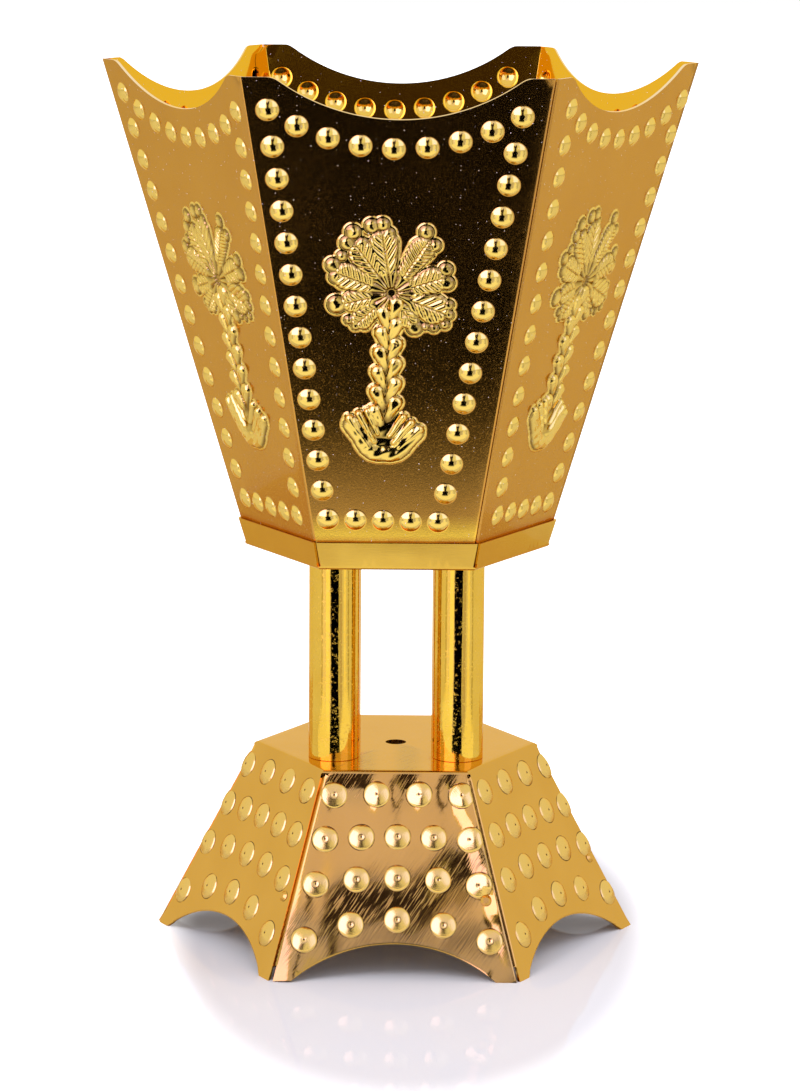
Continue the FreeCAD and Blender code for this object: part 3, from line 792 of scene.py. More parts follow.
base_corner = np.array([base_half_width(0) - base_half_width(base_slant), base_slant])
base_corner /= np.linalg.norm(base_corner)
base_lap_across = np.array([-base_corner[1], base_corner[0]])
base_lap_cut = (base_sheet + lap_gap) / math.sin(base_lap_turn)
base_lap_inset = base_lap_cut + bend_radius * math.tan(base_lap_turn / 2)
base_lap_start = np.array([-base_half_width(0), 0.0]) - base_lap_inset * base_lap_across
base_lap_bend = bend_radius * base_lap_turn
base_lap_reach = base_lap_bend + base_tab_width - bend_radius


def base_lap_point(beyond, rise):
    """Point of the flat pattern at a distance across the tab's bend line and a height up the panel."""
    at = base_lap_start + beyond * base_lap_across
    return tuple(at + base_corner * (rise - at[1]) / base_corner[1])


def base_bent(flat, depth):
    """The flat petal folded into panel, deck and tab."""
    on_panel = flat[:, 1] < deck_fold_rise
    flat, depth = folded(flat, depth, base_lap_start, base_lap_across, base_lap_turn, bend_radius, on_panel)
    return folded(flat, depth, np.array([0.0, deck_fold_rise]), np.array([0.0, 1.0]), deck_turn,
                  deck_bend_radius, True)


def deck_half_width(rise):
    """Half the petal's width at a place past the fold, where it meets the next petal."""
    flat, depth = base_bent(np.array([[0.0, rise]]), np.zeros(1))
    place = laid(flat, depth, wall_axes(0, *base_sizes))[0]
    return abs(place[1]) * corner_tan


def petal_outline():
    """A sixth of the sheet: arched panel, raw right edge, deck to the centre hole, and left tab."""
    arch = arc((0.0, arch_height - arch_radius), arch_radius, 90 + arch_turn, 90 - arch_turn, 50)
    seam = [(base_half_width(rise) - base_seam_gap, rise) for rise in (0.0, deck_fold_rise - fold_relief)]
    bends = [(deck_half_width(rise), rise) for rise in deck_fold_rise + deck_bend * np.linspace(0, 1, 6)]
    hole = [(x, deck_middle + y) for x, y in arc((0.0, 0.0), deck_hole_radius, -60, -120, 9)]
    right_deck = stepped([bends[-1], hole[0]], edge_step)[1:-1]
    left = [(-x, y) for x, y in reversed(right_deck)] + [(-x, y) for x, y in reversed(bends)]
    low = base_tab_end_gap
    high = base_slant - base_tab_top_gap
    edge_rises = (deck_fold_rise - fold_relief, high + 1.2)
    edge = [(-base_half_width(rise) + base_lap_cut, rise) for rise in edge_rises]
    tab = [
        base_lap_point(base_lap_bend, high + 1.0),
        base_lap_point(base_lap_reach - base_tab_corner, high),
        base_lap_point(base_lap_reach, high - base_tab_corner),
        base_lap_point(base_lap_reach, low + base_tab_corner),
        base_lap_point(base_lap_reach - base_tab_corner, low),
        base_lap_point(base_lap_bend, low),
    ]
    foot = [(-base_half_width(rise) + base_lap_cut, rise) for rise in (low - 0.5, 0.0)]
    left_side = stepped([left[-1]] + edge + tab + foot, edge_step)[1:]
    bottom = stepped([foot[-1], arch[0]], 2.0)[1:-1] + arch + stepped([arch[-1], seam[0]], 2.0)[1:-1]
    return bottom + stepped(seam, edge_step) + bends + right_deck + hole + left + left_side


def rod_holes(side, middle, way):
    """The rods' holes that lie in a side's share of a floor, whose middle and direction are given."""
    azimuth = math.radians(front_azimuth + side * side_turn)
    holes = []
    for a, b in [(sx * rod_offset, sy * rod_offset) for sx in (-1, 1) for sy in (-1, 1)]:
        out = a * math.cos(azimuth) + b * math.sin(azimuth)
        along = -a * math.sin(azimuth) + b * math.cos(azimuth)
        if abs(along) < out * corner_tan:
            holes.append(arc((along, middle + way * out), rod_hole_radius, 0, 345, 24))
    return holes


def stud_places(side):
    """Centres of the studs: four rows, each a shallow arc over the arch."""
    places = []
    for count, rise_share, crown_share in zip(stud_row_counts, stud_row_rise_shares, stud_row_crown_shares):
        reach = stud_row_span_share * base_half_width(rise_share * base_slant)
        for step in np.linspace(-1, 1, count):
            rise = rise_share * base_slant + crown_share * arch_height * (1 - step ** 2)
            places.append((stud_press_shifts[side] + step * reach, rise))
    return places


def stud_rise(flat, places):
    """Height of the studs: a small step at the edge, a shallow dome, and a punch mark in its tip."""
    height = np.zeros(len(flat))
    nearest = np.full(len(flat), 2.0)
    for a, b in places:
        out = np.hypot(flat[:, 0] - a, flat[:, 1] - b) / stud_radius
        cone = (stud_height - stud_step) * np.clip(1 - (out / stud_dome_share) ** stud_dome_power, 0, 1)
        mark = punch_depth * (1 - ramp(out, 0.06, 0.15))
        step = stud_step * (1 - ramp(out, 0.92, 1.0))
        height = np.maximum(height, step + cone - mark * (out < 0.3))
        nearest = np.minimum(nearest, out)
    return height, nearest


stud_ring_shares = (0.06, 0.15, 0.35, 0.6, 0.8, 0.92, 0.96, 1.0, 1.05, 1.12)
stud_ring_count = 28
front_dents = [(23.0, 55.5, 5.0, 4.4, 0.34)]
edge_roll = 0.2
edge_rings = (0.4, 0.55)
edge_bulges = (
    (1, 1.8, 2.9, 1.05, (17.0, 25.0), (50.0, 62.0)),
    (-1, 6.0, 5.0, 1.5, (-8.0, -4.0), (8.0, 18.0)),
)
rivet_rise_share = 0.386
rivet_edge_inset = 4.0
rivet_rise = rivet_rise_share * base_slant
rivet_place = np.array([base_half_width(rivet_rise) - rivet_edge_inset, rivet_rise])
rivet_flat_radius = 3.3
top_dents = [(-13.6, 6.6), (3.8, 2.8), (17.2, 1.6)]
top_dent_slope = 0.115
top_dent_length = 5.0
top_dent_fade = 8.0

# The front panel's long ridge: its height up the panel, its rise to the right and fall to the left,
# its depth and width, where its lower swell has died away, and where it is pressed flat.
ridge_rise = 25.5
ridge_right_rise = 11.5
ridge_left_fall = 9.0
ridge_waver = 0.7
ridge_depth = 0.5
ridge_width = 6.0
ridge_fade_rise = 36.0
ridge_right = (7.0, 19.0)
ridge_left = (16.0, 26.0)
pressed_flat_at = -24.5
pressed_flat_width = 5.0
pressed_flat_share = 0.95
fine_sway = 0.07
top_dent_sides = (1.5, 2.2)
top_scuff = (52.0, 60.0)
top_scuff_share = 0.6
scuff_width = 7.0
scuffed_shaded_foot = (14.0, 24.0)
shaded_foot_share = 0.8
scuffed_foot_share = 0.3
bulge_waver = 0.4
base_sway = 0.10
base_grid_step = 2.2
deck_grid_step = 3.0
base_edge_clear = 2.4
fold_clear = 2.0
arch_clear = 1.2
stud_clear_share = 1.2
floor_crease_gap = 0.05
petals = []
for side, side_name in enumerate(side_names):
    studs = stud_places(side)
    inner = coarse_grid((-36, 1), (36, base_slant - 1), base_grid_step)
    beside = np.min([np.hypot(inner[:, 0] - a, inner[:, 1] - b) for a, b in studs], axis=0)
    room = base_half_width(inner[:, 1]) - np.abs(inner[:, 0]) > base_edge_clear
    room &= inner[:, 1] < deck_fold_rise - fold_clear
    room &= np.hypot(inner[:, 0], inner[:, 1] - arch_height + arch_radius) > arch_radius + arch_clear
    inner = inner[room & (beside > stud_radius * stud_clear_share)]
    deck = coarse_grid((-22, deck_fold_rise + deck_bend + 1.5), (22, deck_middle), deck_grid_step)
    deck = deck[np.abs(deck[:, 0]) < (deck_middle - deck[:, 1]) * corner_tan - 1.0]
    points = studs + [tuple(p) for p in np.concatenate([inner, deck])]
    creases = ring_lines(studs, stud_radius, stud_ring_shares, stud_ring_count)
    for inset in edge_rings:
        back = base_seam_gap + inset / base_corner[1]
        ends = [(base_half_width(rise) - back, rise) for rise in (1.5, deck_fold_rise - 2)]
        creases.append(stepped(ends, 2.0))
        creases.append(arc((0.0, arch_height - arch_radius), arch_radius + inset,
                           86 + arch_turn, 94 - arch_turn, 46))
    for fall in (0.3, 0.8):
        half = base_half_width(deck_fold_rise) - 2.2
        creases.append(stepped([(-half, deck_fold_rise - fall), (half, deck_fold_rise - fall)], 2.0))
    for share in np.linspace(0, 1, 6):
        rise = deck_fold_rise + share * deck_bend
        half = deck_half_width(rise) - floor_crease_gap
        creases.append(stepped([(-half, rise), (half, rise)], edge_step))
        ends = [base_lap_point(share * base_lap_bend, base_tab_end_gap + 0.3),
                base_lap_point(share * base_lap_bend, base_slant - base_tab_top_gap - 0.3)]
        creases.append(stepped(ends, edge_step))
    flat, faces = cut_pattern(petal_outline(), creases, rod_holes(side, deck_middle, -1), points)
    studded, nearest = stud_rise(flat, studs)
    calm = ramp(base_half_width(flat[:, 1]) - np.abs(flat[:, 0]), 2.0, 10.0)
    calm *= ramp(flat[:, 1], 0.0, 8.0) * ramp(deck_fold_rise - flat[:, 1], 0.5, 6.0)
    swell = base_sway * sway(flat, 20 + side, 30.0)
    scuffed = np.zeros(len(flat))
    scuff_shade = np.zeros(len(flat))
    if side_name == "front":
        u, v = flat.T
        ridge = ridge_rise + ridge_right_rise * ramp(u, *ridge_right) - ridge_left_fall * ramp(-u, *ridge_left)
        ridge += ridge_waver * sway(flat, 3, 11.0)
        kept = 1 - pressed_flat_share * np.exp(-((u - pressed_flat_at) / pressed_flat_width) ** 2)
        faded = np.clip((v - ridge_fade_rise) / (deck_fold_rise - ridge_fade_rise), 0, 1)
        swell = ridge_depth * kept * np.tanh((v - ridge) / ridge_width) * (1 - faded)
        for a, b, wide, tall, rise in front_dents:
            swell += rise * np.exp(-((u - a) / wide) ** 2 - ((v - b) / tall) ** 2)
        swell += fine_sway * sway(flat, 7, 15.0)
        below = deck_fold_rise - v
        calm = ramp(base_half_width(v) - np.abs(u), 1.0, 5.0) * ramp(v, 0.0, 8.0) * ramp(below, 0.2, 2.5)
        tail = top_dent_length * np.exp(-((below - top_dent_length) / top_dent_fade) ** 2)
        sunk = top_dent_slope * np.where(below < top_dent_length, np.maximum(below, 0.0), tail)
        across = np.max([1 - ramp(np.abs(u - a), half - top_dent_sides[0], half + top_dent_sides[1])
                         for a, half in top_dents], axis=0)
        scuffed = kept * np.exp(-((v - ridge) / scuff_width) ** 2)
        scuffed += top_scuff_share * across * ramp(v, *top_scuff)
        # Painted shade: the scuffed band and the foot of the front panel are marked to be darkened in colour.
        scuff_shade = np.clip(scuffed + shaded_foot_share * (1 - ramp(v, *scuffed_shaded_foot)), 0, 1)
        scuffed = np.clip(scuffed + scuffed_foot_share * (1 - ramp(v, *scuffed_shaded_foot)), 0, 1)
        swell = swell * calm - sunk * across * ramp(base_half_width(v) - np.abs(u), 0.5, 3.0)
        riveted = np.exp(-(np.hypot(u - rivet_place[0], v - rivet_place[1]) / rivet_flat_radius) ** 4)
        for sign, inset, wide, rise, low, high in edge_bulges:
            apart = base_half_width(v) - sign * u - inset
            bulge = rise * np.exp(-(apart / wide) ** 2) * (1 + bulge_waver * sway(flat, 5, 13.0))
            swell += bulge * ramp(v, *low) * (1 - ramp(v, *high)) * (1 - riveted)
    else:
        swell *= calm
    raw = np.minimum((base_half_width(flat[:, 1]) - base_seam_gap - flat[:, 0]) * base_corner[1],
                     np.hypot(flat[:, 0], flat[:, 1] - arch_height + arch_radius) - arch_radius)
    rolled = edge_roll * (1 - np.clip(raw / edge_rings[0], 0, 1)) * ramp(flat[:, 1], 0.5, 2.0)
    rolled *= ramp(deck_fold_rise - flat[:, 1], 0.5, 2.0)
    bent, depth = base_bent(flat, studded + swell - rolled)
    petal = new_piece("petal_" + side_name, laid(bent, depth, wall_axes(side, *base_sizes)), faces)
    written(petal, {"stud_near": 2 - nearest, "scuffed": scuffed, "scuff_shade": scuff_shade})
    spread = petal.data.attributes.new("rolling_way", "FLOAT_VECTOR", "POINT")
    drawn = np.column_stack([flat, np.full(len(flat), side * base_slant)]) * mm
    spread.data.foreach_set("vector", drawn.ravel().astype(np.float32))
    petals.append(petal)

base = joined(petals, "base_sheet")
thickened(base, base_sheet, 0.0, deck_level + base_sheet, 40)

# Gold plated brass sheet of the base: polished with a coarse wheel, so fine scratches run across it,
# and each stud shows the rings of the spun punch that pressed it.
base_colour = "#D8A648"
base_deep_colour = "#CC983A"
groove_shade_colour = "#5E3E14"
stud_colour = "#E3BC60"
scratch_length = 8.0
scratch_width = 0.4
scratch_lean = -33.0
scuff_shade_colour = "#9A8040"
calm_depth_share = 0.25
scuff_depth_share = 1.4
scuff_roughness = 0.5
pit_share = 0.08
ring_spacing_share = 0.11
ring_depth_share = 0.5
stud_roughness = 0.2
scratch_depth = 0.010

base_metal, tree, shader, place = new_material("brushed_gold_plate")
cloud = node(tree, "TexNoise", {"Vector": place, "Scale": per_mm(18.0), "Detail": 3.0})
drawn = node(tree, "Attribute", {}, attribute_name="rolling_way")
lean = node(tree, "Mapping", {"Vector": drawn.outputs["Vector"],
                              "Rotation": (0.0, 0.0, math.radians(scratch_lean)),
                              "Scale": (scratch_width, scratch_length, 1.0)}, vector_type="TEXTURE")
scratch = node(tree, "TexNoise", {"Vector": lean.outputs[0], "Scale": per_mm(1.0), "Detail": 1.0,
                                  "Roughness": 0.5})
stud = node(tree, "Attribute", {}, attribute_name="stud_near")
out = node(tree, "Math", {0: 2.0, 1: stud.outputs["Fac"]}, operation="SUBTRACT")
on_stud = node(tree, "Math", {0: out.outputs[0], 1: 0.98}, operation="LESS_THAN")
turns = node(tree, "Math", {0: out.outputs[0], 1: 2 * math.pi / ring_spacing_share}, operation="MULTIPLY")
rings = node(tree, "Math", {0: turns.outputs[0]}, operation="SINE")
tooled = node(tree, "Math", {0: rings.outputs[0], 1: on_stud.outputs[0]}, operation="MULTIPLY")
scuffs = node(tree, "Attribute", {}, attribute_name="scuffed")
deep = node(tree, "MapRange", {"Value": scuffs.outputs["Fac"], "To Min": calm_depth_share,
                               "To Max": scuff_depth_share})
lines = node(tree, "MapRange", {"Value": scratch.outputs["Fac"], "From Min": 0.35, "From Max": 0.65})
scored = node(tree, "Math", {0: lines.outputs[0], 1: deep.outputs[0]}, operation="MULTIPLY")
surface = node(tree, "Mix", {0: on_stud.outputs[0], 2: scored.outputs[0], 3: 0.5})
relief = node(tree, "Math", {0: tooled.outputs[0], 1: ring_depth_share, 2: surface.outputs[0]},
              operation="MULTIPLY_ADD")
tone = node(tree, "Mix", {0: cloud.outputs["Fac"], 6: linear(base_colour), 7: linear(base_deep_colour)},
            data_type="RGBA")
# Painted shade: a dark ring in the groove round each stud, broken up by noise, and a dark dot in the punch pit
# at its tip.
groove = node(tree, "Math", {0: out.outputs[0], 1: 1.01, 2: 0.035}, operation="COMPARE")
patchy = node(tree, "TexNoise", {"Vector": place, "Scale": per_mm(4.0), "Detail": 2.0})
patchy = node(tree, "MapRange", {"Value": patchy.outputs["Fac"], "From Min": 0.42, "From Max": 0.62})
groove_and_pit_shade = node(tree, "Math", {0: groove.outputs[0], 1: patchy.outputs[0]}, operation="MULTIPLY")
pit = node(tree, "Math", {0: out.outputs[0], 1: pit_share}, operation="LESS_THAN")
groove_and_pit_shade = node(tree, "Math", {0: groove_and_pit_shade.outputs[0], 1: pit.outputs[0]}, operation="MAXIMUM")
# Painted shade over the front panel's scuffed band and foot.
scuff_shade = node(tree, "Attribute", {}, attribute_name="scuff_shade")
scuff_shade = node(tree, "MapRange", {"Value": scuff_shade.outputs["Fac"], "To Min": 0.0, "To Max": 0.6})
for share, over in ((scuff_shade, scuff_shade_colour), (on_stud, stud_colour), (groove_and_pit_shade, groove_shade_colour)):
    tone = node(tree, "Mix", {0: share.outputs[0], 6: tone.outputs[2], 7: linear(over)}, data_type="RGBA")
plain = node(tree, "MapRange", {"Value": scratch.outputs["Fac"], "To Min": 0.06, "To Max": 0.15})
cut = node(tree, "MapRange", {"Value": scratch.outputs["Fac"], "From Min": 0.53, "From Max": 0.64})
cut = node(tree, "Math", {0: cut.outputs[0], 1: scuffs.outputs["Fac"]}, operation="MULTIPLY")
dull = node(tree, "Mix", {0: cut.outputs[0], 2: plain.outputs[0], 3: scuff_roughness})
gloss = node(tree, "Mix", {0: on_stud.outputs[0], 2: dull.outputs[0], 3: stud_roughness})
bump = node(tree, "Bump", {"Height": relief.outputs[0], "Distance": scratch_depth * mm, "Strength": 1.0})
gilded(tree, shader, tone.outputs[2], gloss.outputs[0], bump.outputs["Normal"])
base.data.materials.append(base_metal)
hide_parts("base_shell")
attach(base, "burner")


# Tray: one brass sheet under the bowl, a hexagonal floor and six flanges folded up to follow the
# bowl's walls, with open slits at its corners, polished and gold plated.
tray_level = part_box("collar_tray")[0].z / mm
tray_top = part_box("collar_tray")[1].z / mm
tray_sheet = 0.8
tray_corner_gap = 0.2
solder_gap = 0.12
tray_bend_radius = 1.2
tray_sway = 0.05
tray_grid_step = 2.5

bowl_wall_cos = bowl_height / bowl_slant


def tray_radius(level):
    """Corner radius of the tray's outer faces: the bowl's, moved out by the solder and the sheet."""
    share = (level - bowl_low) / bowl_height
    radius = bowl_bottom_circumradius + share * (rim_circumradius - bowl_bottom_circumradius)
    return radius + (solder_gap + tray_sheet) / (bowl_wall_cos * corner_cos)


tray_sizes = (tray_radius(tray_level), tray_level, tray_radius(tray_top), tray_top)
tray_rise = (tray_top - tray_level) / bowl_wall_cos
tray_turn = math.pi / 2 - math.atan2(bowl_slant * math.sqrt(1 - bowl_wall_cos ** 2), bowl_height)
tray_setback = tray_bend_radius * math.tan(tray_turn / 2)
tray_bend = tray_bend_radius * tray_turn
tray_middle = tray_setback - tray_bend - (tray_sizes[0] * corner_cos - tray_setback)
tray_inset = tray_sheet * corner_tan + tray_corner_gap


def tray_bent(flat):
    return folded(flat, np.zeros(len(flat)), np.array([0.0, tray_setback]), np.array([0.0, -1.0]), tray_turn,
                  tray_bend_radius, True)


def tray_floor_half_width(rise):
    place = laid(*tray_bent(np.array([[0.0, rise]])), wall_axes(0, *tray_sizes))[0]
    return abs(place[1]) * corner_tan


def tray_outline():
    """A sixth of the tray: a flange, its fold, and the floor to the tray's middle."""
    half_top = tray_sizes[2] / 2 - tray_inset
    half_low = tray_sizes[0] / 2 - tray_inset
    bends = [(tray_floor_half_width(rise), rise) for rise in tray_setback - tray_bend * np.linspace(0, 1, 6)]
    floor = stepped([bends[-1], (0.0, tray_middle)], edge_step)[1:]
    right = [(x, y) for x, y in reversed(bends + floor[:-1])]
    left = [(-x, y) for x, y in bends + floor]
    flange = stepped([(half_low, tray_setback + 0.3), (half_top, tray_rise), (-half_top, tray_rise),
                      (-half_low, tray_setback + 0.3)], edge_step)
    return right + flange + left


trays = []
for side, side_name in enumerate(side_names):
    creases = []
    for rise in tray_setback - tray_bend * np.linspace(0, 1, 6):
        half = tray_floor_half_width(rise) - floor_crease_gap
        creases.append(stepped([(-half, rise), (half, rise)], edge_step))
    spread = coarse_grid((-26, 1.5), (26, tray_rise - 1), tray_grid_step)
    spread = [tuple(p) for p in spread[tray_sizes[0] / 2 - np.abs(spread[:, 0]) > 2]]
    flat, faces = cut_pattern(tray_outline(), creases, rod_holes(side, tray_middle, 1), spread)
    swell = tray_sway * sway(flat, 40 + side, 24.0) * ramp(flat[:, 1], tray_setback + 0.3, tray_setback + 3)
    bent, depth = tray_bent(flat)
    places = laid(bent, depth + swell, wall_axes(side, *tray_sizes))
    trays.append(new_piece("flange_" + side_name, places, faces))

tray = joined(trays, "tray_sheet")
thickened(tray, tray_sheet, tray_level - tray_sheet, tray_top, 40)

# Gold plated brass, wheel polished: brighter and smoother than the bowl, with a few hair scratches.
tray_colour = "#DDB448"
tray_deep_colour = "#D0A23A"
hair_length = 6.0
hair_width = 0.3

tray_metal, tree, shader, place = new_material("polished_gold_plate")
cloud = node(tree, "TexNoise", {"Vector": place, "Scale": per_mm(12.0), "Detail": 3.0})
hair = node(tree, "Mapping", {"Vector": place, "Scale": (1 / hair_length, 1 / hair_length, 1 / hair_width)})
scratch = node(tree, "TexNoise", {"Vector": hair.outputs[0], "Scale": per_mm(1.0), "Detail": 2.0})
tone = node(tree, "Mix", {0: cloud.outputs["Fac"], 6: linear(tray_colour), 7: linear(tray_deep_colour)},
            data_type="RGBA")
gloss = node(tree, "MapRange", {"Value": cloud.outputs["Fac"], "To Min": 0.12, "To Max": 0.22})
bump = node(tree, "Bump", {"Height": scratch.outputs["Fac"], "Distance": 0.005 * mm, "Strength": 1.0})
gilded(tree, shader, tone.outputs[2], gloss.outputs[0], bump.outputs["Normal"])
tray.data.materials.append(tray_metal)
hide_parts("collar_tray")
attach(tray, "burner")


# Tubes: four lengths of thin brass tube, cut square with the burr taken off, polished bright and
# gold plated. They stand on the deck over the rods and carry the tray.
pillar_diameter = 16.0
pillar_wall = 1.0
pillar_burr = 0.15
tube_colour = "#ECC348"
tube_deep_colour = "#E2B236"
streak_width = 0.4
streak_length = 14.0

tube_metal, tree, shader, place = new_material("bright_gold_tube")
cloud = node(tree, "TexNoise", {"Vector": place, "Scale": per_mm(9.0), "Detail": 2.0})
drawn = node(tree, "Mapping", {"Vector": place,
                               "Scale": (1 / streak_width, 1 / streak_width, 1 / streak_length)})
streak = node(tree, "TexNoise", {"Vector": drawn.outputs[0], "Scale": per_mm(1.0), "Detail": 3.0})
pits = node(tree, "TexNoise", {"Vector": place, "Scale": per_mm(0.9), "Detail": 3.0, "Roughness": 0.7})
mottle = node(tree, "Math", {0: streak.outputs["Fac"], 1: pits.outputs["Fac"]}, operation="ADD")
tone = node(tree, "Mix", {0: cloud.outputs["Fac"], 6: linear(tube_colour), 7: linear(tube_deep_colour)},
            data_type="RGBA")
gloss = node(tree, "MapRange", {"Value": pits.outputs["Fac"], "From Min": 0.54, "From Max": 0.66,
                                "To Min": 0.05, "To Max": 0.4})
bump = node(tree, "Bump", {"Height": mottle.outputs[0], "Distance": 0.008 * mm, "Strength": 1.0})
gilded(tree, shader, tone.outputs[2], gloss.outputs[0], bump.outputs["Normal"])

for corner in ("front_left", "front_right", "rear_left", "rear_right"):
    low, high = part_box("pillar_" + corner)
    bpy.ops.object.select_all(action="DESELECT")
    bpy.ops.mesh.primitive_cylinder_add(vertices=96, radius=pillar_diameter / 2 * mm, depth=high.z - low.z,
                                        end_fill_type="NOTHING", location=(low + high) / 2)
    tube = bpy.context.object
    tube.name = "tube_" + corner
    bpy.ops.object.transform_apply(location=True, rotation=True, scale=True)
    wall = tube.modifiers.new("wall", "SOLIDIFY")
    wall.thickness = pillar_wall * mm
    wall.offset = -1
    burr = tube.modifiers.new("burr", "BEVEL")
    burr.width = pillar_burr * mm
    burr.limit_method = "ANGLE"
    for modifier in ("wall", "burr"):
        bpy.ops.object.modifier_apply(modifier=modifier)
    bpy.ops.object.shade_smooth_by_angle(angle=math.radians(30))
    tube.data.materials.append(tube_metal)
    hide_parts("pillar_" + corner)
    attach(tube, "burner")


# Rods, washers, nuts and rivets: bought steel fasteners, bright zinc plated, and brass rivets set
# by hand. The rods run through the tubes and clamp the tray and the base on them.
zinc_colour = "#C9CCD0"
zinc_dull_colour = "#A5A8AC"
thread_pitch = 0.8

zinc, tree, shader, place = new_material("bright_zinc_plated_steel")
grain = node(tree, "TexNoise", {"Vector": place, "Scale": per_mm(1.2), "Detail": 4.0})
tone = node(tree, "Mix", {0: grain.outputs["Fac"], 6: linear(zinc_colour), 7: linear(zinc_dull_colour)},
            data_type="RGBA")
gloss = node(tree, "MapRange", {"Value": grain.outputs["Fac"], "To Min": 0.22, "To Max": 0.42})
height = node(tree, "SeparateXYZ", {"Vector": place})
turns = node(tree, "Math", {0: height.outputs["Z"], 1: 2 * math.pi / (thread_pitch * mm)},
             operation="MULTIPLY")
thread = node(tree, "Math", {0: turns.outputs[0]}, operation="SINE")
bump = node(tree, "Bump", {"Height": thread.outputs[0], "Distance": 0.05 * mm, "Strength": 1.0})
tree.links.new(tone.outputs[2], shader.inputs["Base Color"])
tree.links.new(gloss.outputs[0], shader.inputs["Roughness"])
shader.inputs["Metallic"].default_value = 1.0
threaded = zinc.copy()
threaded.name = "zinc_plated_thread"
plain_bump = tree.nodes[bump.name]
threaded.node_tree.links.new(threaded.node_tree.nodes[bump.name].outputs["Normal"],
                             threaded.node_tree.nodes[shader.name].inputs["Normal"])
tree.nodes.remove(plain_bump)

fastener_finishes = {
    "tie_rod_front_left": threaded,
    "tie_rod_front_right": threaded,
    "tie_rod_rear_left": threaded,
    "tie_rod_rear_right": threaded,
    "lower_washers": zinc,
    "lower_nuts": zinc,
    "upper_washers": zinc,
    "upper_nuts": zinc,
    "base_seam_rivets": base_metal,
}
for node_name, finish in fastener_finishes.items():
    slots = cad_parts[node_name].data.materials
    slots.clear()
    slots.append(finish)


# Charcoal pan: a hexagonal pan of sheet steel, pressed in one piece, its floor sooted by use.
# It wedges in the flared bowl by its lip and lifts out.
pan_sheet = 1.0
pan_lip_width = 4.5
pan_wall_run = 13.5
pan_low, pan_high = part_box("charcoal_pan")
pan_lip_radius = pan_high.x
pan_body_radius = pan_lip_radius - pan_lip_width * mm
pan_floor_radius = pan_body_radius - pan_wall_run * mm
pan_bend = 1.6

bpy.ops.object.select_all(action="DESELECT")
bpy.ops.mesh.primitive_circle_add(vertices=6, radius=pan_floor_radius, fill_type="NGON",
                                  location=(0, 0, pan_low.z + pan_sheet * mm),
                                  rotation=(0, 0, math.radians(side_turn / 2)))
pan = bpy.context.object
pan.name = "pan_steel_sheet"
bpy.ops.object.transform_apply(location=True, rotation=True, scale=True)
bpy.ops.object.mode_set(mode="EDIT")
bpy.ops.mesh.select_mode(type="EDGE")
bpy.ops.mesh.select_all(action="SELECT")
wall_rise = pan_high.z - pan_low.z - pan_sheet * mm
bpy.ops.mesh.extrude_edges_move(TRANSFORM_OT_translate={"value": (0, 0, wall_rise)})
wall_share = pan_body_radius / pan_floor_radius
bpy.ops.transform.resize(value=(wall_share, wall_share, 1), center_override=(0, 0, pan_high.z))
bpy.ops.mesh.extrude_edges_move(TRANSFORM_OT_translate={"value": (0, 0, 0)})
lip_share = pan_lip_radius / pan_body_radius
bpy.ops.transform.resize(value=(lip_share, lip_share, 1), center_override=(0, 0, pan_high.z))
bpy.ops.mesh.select_all(action="SELECT")
bpy.ops.mesh.normals_make_consistent(inside=False)
bpy.ops.object.mode_set(mode="OBJECT")
if pan.data.polygons[0].normal.z < 0:
    pan.data.flip_normals()
fold = pan.modifiers.new("fold", "BEVEL")
fold.width = pan_bend * mm
fold.segments = 4
fold.limit_method = "ANGLE"
fold.angle_limit = math.radians(20)
wall = pan.modifiers.new("wall", "SOLIDIFY")
wall.thickness = pan_sheet * mm
wall.offset = -1
for modifier in ("fold", "wall"):
    bpy.ops.object.modifier_apply(modifier=modifier)
bpy.ops.object.shade_smooth_by_angle(angle=math.radians(40))

soot_colour = "#302B21"
steel_colour = "#6A624E"
pan_metal, tree, shader, place = new_material("sooted_sheet_steel")
cloud = node(tree, "TexNoise", {"Vector": place, "Scale": per_mm(16.0), "Detail": 5.0, "Roughness": 0.6})
grain = node(tree, "TexNoise", {"Vector": place, "Scale": per_mm(0.8), "Detail": 3.0})
soot = node(tree, "MapRange", {"Value": cloud.outputs["Fac"], "From Min": 0.3, "From Max": 0.75})
tone = node(tree, "Mix", {0: soot.outputs[0], 6: linear(steel_colour), 7: linear(soot_colour)},
            data_type="RGBA")
gloss = node(tree, "MapRange", {"Value": soot.outputs[0], "To Min": 0.32, "To Max": 0.7})
bump = node(tree, "Bump", {"Height": grain.outputs["Fac"], "Distance": 0.02 * mm, "Strength": 1.0})
tree.links.new(tone.outputs[2], shader.inputs["Base Color"])
tree.links.new(gloss.outputs[0], shader.inputs["Roughness"])
tree.links.new(bump.outputs["Normal"], shader.inputs["Normal"])
shader.inputs["Metallic"].default_value = 1.0
pan.data.materials.append(pan_metal)
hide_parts("charcoal_pan")
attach(pan, "pan")


# Stage: white table and white tent, two soft boxes, and the dark gap in front of the tent where the
# camera stands. Boxes and gap show in reflections only, and the table is lifted to white away from
# the burner's shadow.
floor_colour = "#E6E5F0"
floor_size = 12.0
lift_squeeze = (1.42, 0.6, 1.0)
lift_shift = (-0.007, 0.0, 0.0)
near_lift = 0.02
shadow_reach = 0.095
shadow_end = 0.128

